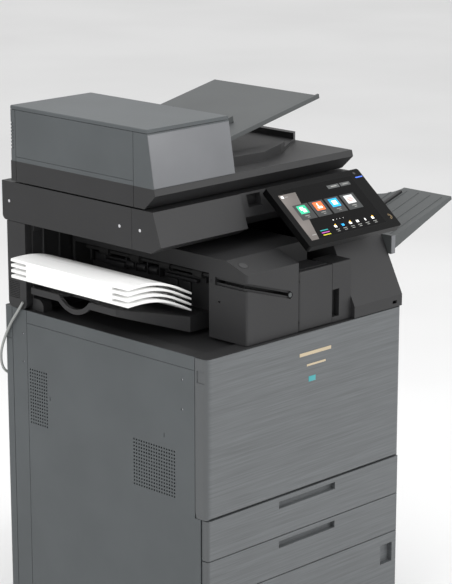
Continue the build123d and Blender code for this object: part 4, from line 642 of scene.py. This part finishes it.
class COPIER_OT_finisher_trim(bpy.types.Operator):
    """Slot's end cap, the stopper of the right tray and the tray's bracket."""

    bl_idname = "copier.finisher_trim"
    bl_label = "Finisher trim"

    def execute(self, context):
        mesh = bmesh.new()
        turn = Matrix.Translation(BODY + Vector((-0.0440, -0.3055, 0.8371))) @ Matrix.Rotation(math.pi / 2, 4, "X")
        add_round(mesh, 0.0052, 0.003, turn, 40, 0.0006)
        piece("slot_end_cap", mesh, "tray_grey", "finisher")
        mesh = bmesh.new()
        rise = math.radians(TRAY_SLOPE)
        slope = Matrix.Translation(BODY + Vector((RIGHT, 0.0, 0.867))) @ Matrix.Rotation(-rise, 4, "Y")
        add_bar(mesh, (0.112, 0.206), (-0.1580, -0.1500), (0.0275, 0.0335), 0.0012, slope)
        piece("tray_stopper", mesh, "charcoal", "machine")
        mesh = bmesh.new()
        add_bar(mesh, (RIGHT + 0.0005, RIGHT + 0.0135), (-0.2862, -0.2846), (0.8625, 0.9035), 0.0007)
        piece("tray_bracket", mesh, "light_grey", "machine")
        return {"FINISHED"}


class COPIER_OT_stage(bpy.types.Operator):
    """Pale floor, soft lights and the camera."""

    bl_idname = "copier.stage"
    bl_label = "Stage"

    def execute(self, context):
        scene = context.scene
        material, nodes, links, shader, place = start_finish("studio_floor")
        soft = noise(nodes, links, place, 0.8, 2.0)
        tint = shade_between(nodes, links, soft.outputs["Fac"], (0.80, 0.80, 0.80), (0.84, 0.84, 0.84))
        links.new(tint, shader.inputs["Base Color"])
        shader.inputs["Roughness"].default_value = 0.7
        mesh = bmesh.new()
        bmesh.ops.create_grid(mesh, x_segments=2, y_segments=2, size=14.0)
        data = bpy.data.meshes.new("floor")
        mesh.to_mesh(data)
        mesh.free()
        data.materials.append(material)
        floor = bpy.data.objects.new("floor", data)
        scene.collection.objects.link(floor)
        world = bpy.data.worlds.new("studio")
        scene.world = world
        world.use_nodes = True
        world.node_tree.nodes["Background"].inputs["Color"].default_value = (1.0, 1.0, 1.0, 1.0)
        world.node_tree.nodes["Background"].inputs["Strength"].default_value = 0.85
        self.lamp("key", (1.1, -3.4, 2.6), 82.0, 2.4)
        self.lamp("fill", (-3.6, -0.6, 2.2), 46.0, 2.6)
        self.lamp("top", (0.1, 0.4, 3.6), 42.0, 2.8)
        self.camera(scene)
        scene.view_settings.view_transform = "Standard"
        scene.view_settings.look = "None"
        return {"FINISHED"}

    def lamp(self, name, place, power, size):
        """Square soft light aimed at the machine's middle."""
        data = bpy.data.lights.new(name, "AREA")
        data.energy = power
        data.size = size
        light = bpy.data.objects.new(name, data)
        light.location = place
        light.rotation_euler = (Vector((0.0, 0.0, 0.7)) - Vector(place)).to_track_quat("-Z", "Y").to_euler()
        bpy.context.scene.collection.objects.link(light)

    def camera(self, scene):
        """Camera in front of the left front corner, a little above the machine."""
        data = bpy.data.cameras.new("camera")
        data.sensor_fit = "VERTICAL"
        data.sensor_height = 36.0
        data.lens = CAMERA_LENS
        data.clip_end = 60.0
        camera = bpy.data.objects.new("camera", data)
        camera.location = BODY + CAMERA_PLACE
        turn, rise = math.radians(CAMERA_TURN), math.radians(CAMERA_RISE)
        back = Vector((math.sin(turn) * math.cos(rise), -math.cos(turn) * math.cos(rise), math.sin(rise)))
        camera.rotation_euler = back.to_track_quat("Z", "Y").to_euler()
        scene.collection.objects.link(camera)
        scene.camera = camera


OPERATORS = (COPIER_OT_finishes, COPIER_OT_touch_picture, COPIER_OT_panel_marks, COPIER_OT_printed_sets,
             COPIER_OT_cable, COPIER_OT_feeder_trim, COPIER_OT_front_trim, COPIER_OT_exit_works,
             COPIER_OT_finisher_trim, COPIER_OT_stage)


class COPIER_PT_panel(bpy.types.Panel):
    """Sidebar panel with the colours, the sizes and one button for each group of pieces."""

    bl_idname = "COPIER_PT_panel"
    bl_label = "Copier"
    bl_space_type = "VIEW_3D"
    bl_region_type = "UI"
    bl_category = "Copier"

    def draw(self, context):
        layout = self.layout
        for name in ("side", "front", "charcoal", "feeder", "tray"):
            layout.prop(context.scene.copier_colours, name)
        for name in ("soft_edge", "sheet_arch", "badge_width"):
            layout.prop(context.scene.copier_sizes, name)
        for operator in OPERATORS:
            layout.operator(operator.bl_idname)


CLASSES = (CopierColours, CopierSizes, *OPERATORS, COPIER_PT_panel)


def register():
    """Registers the classes and the scene's two property groups."""
    for item in CLASSES:
        bpy.utils.register_class(item)
    bpy.types.Scene.copier_colours = bpy.props.PointerProperty(type=CopierColours)
    bpy.types.Scene.copier_sizes = bpy.props.PointerProperty(type=CopierSizes)


def unregister():
    """Removes what register added."""
    del bpy.types.Scene.copier_sizes
    del bpy.types.Scene.copier_colours
    for item in reversed(CLASSES):
        bpy.utils.unregister_class(item)


def main():
    """Makes everything in order."""
    register()
    bpy.ops.copier.finishes()
    bpy.ops.copier.touch_picture()
    bpy.ops.copier.panel_marks()
    bpy.ops.copier.printed_sets()
    bpy.ops.copier.cable()
    bpy.ops.copier.feeder_trim()
    bpy.ops.copier.front_trim()
    bpy.ops.copier.exit_works()
    bpy.ops.copier.finisher_trim()
    bpy.ops.copier.stage()
    bpy.context.view_layer.update()


if __name__ == "__main__":
    main()
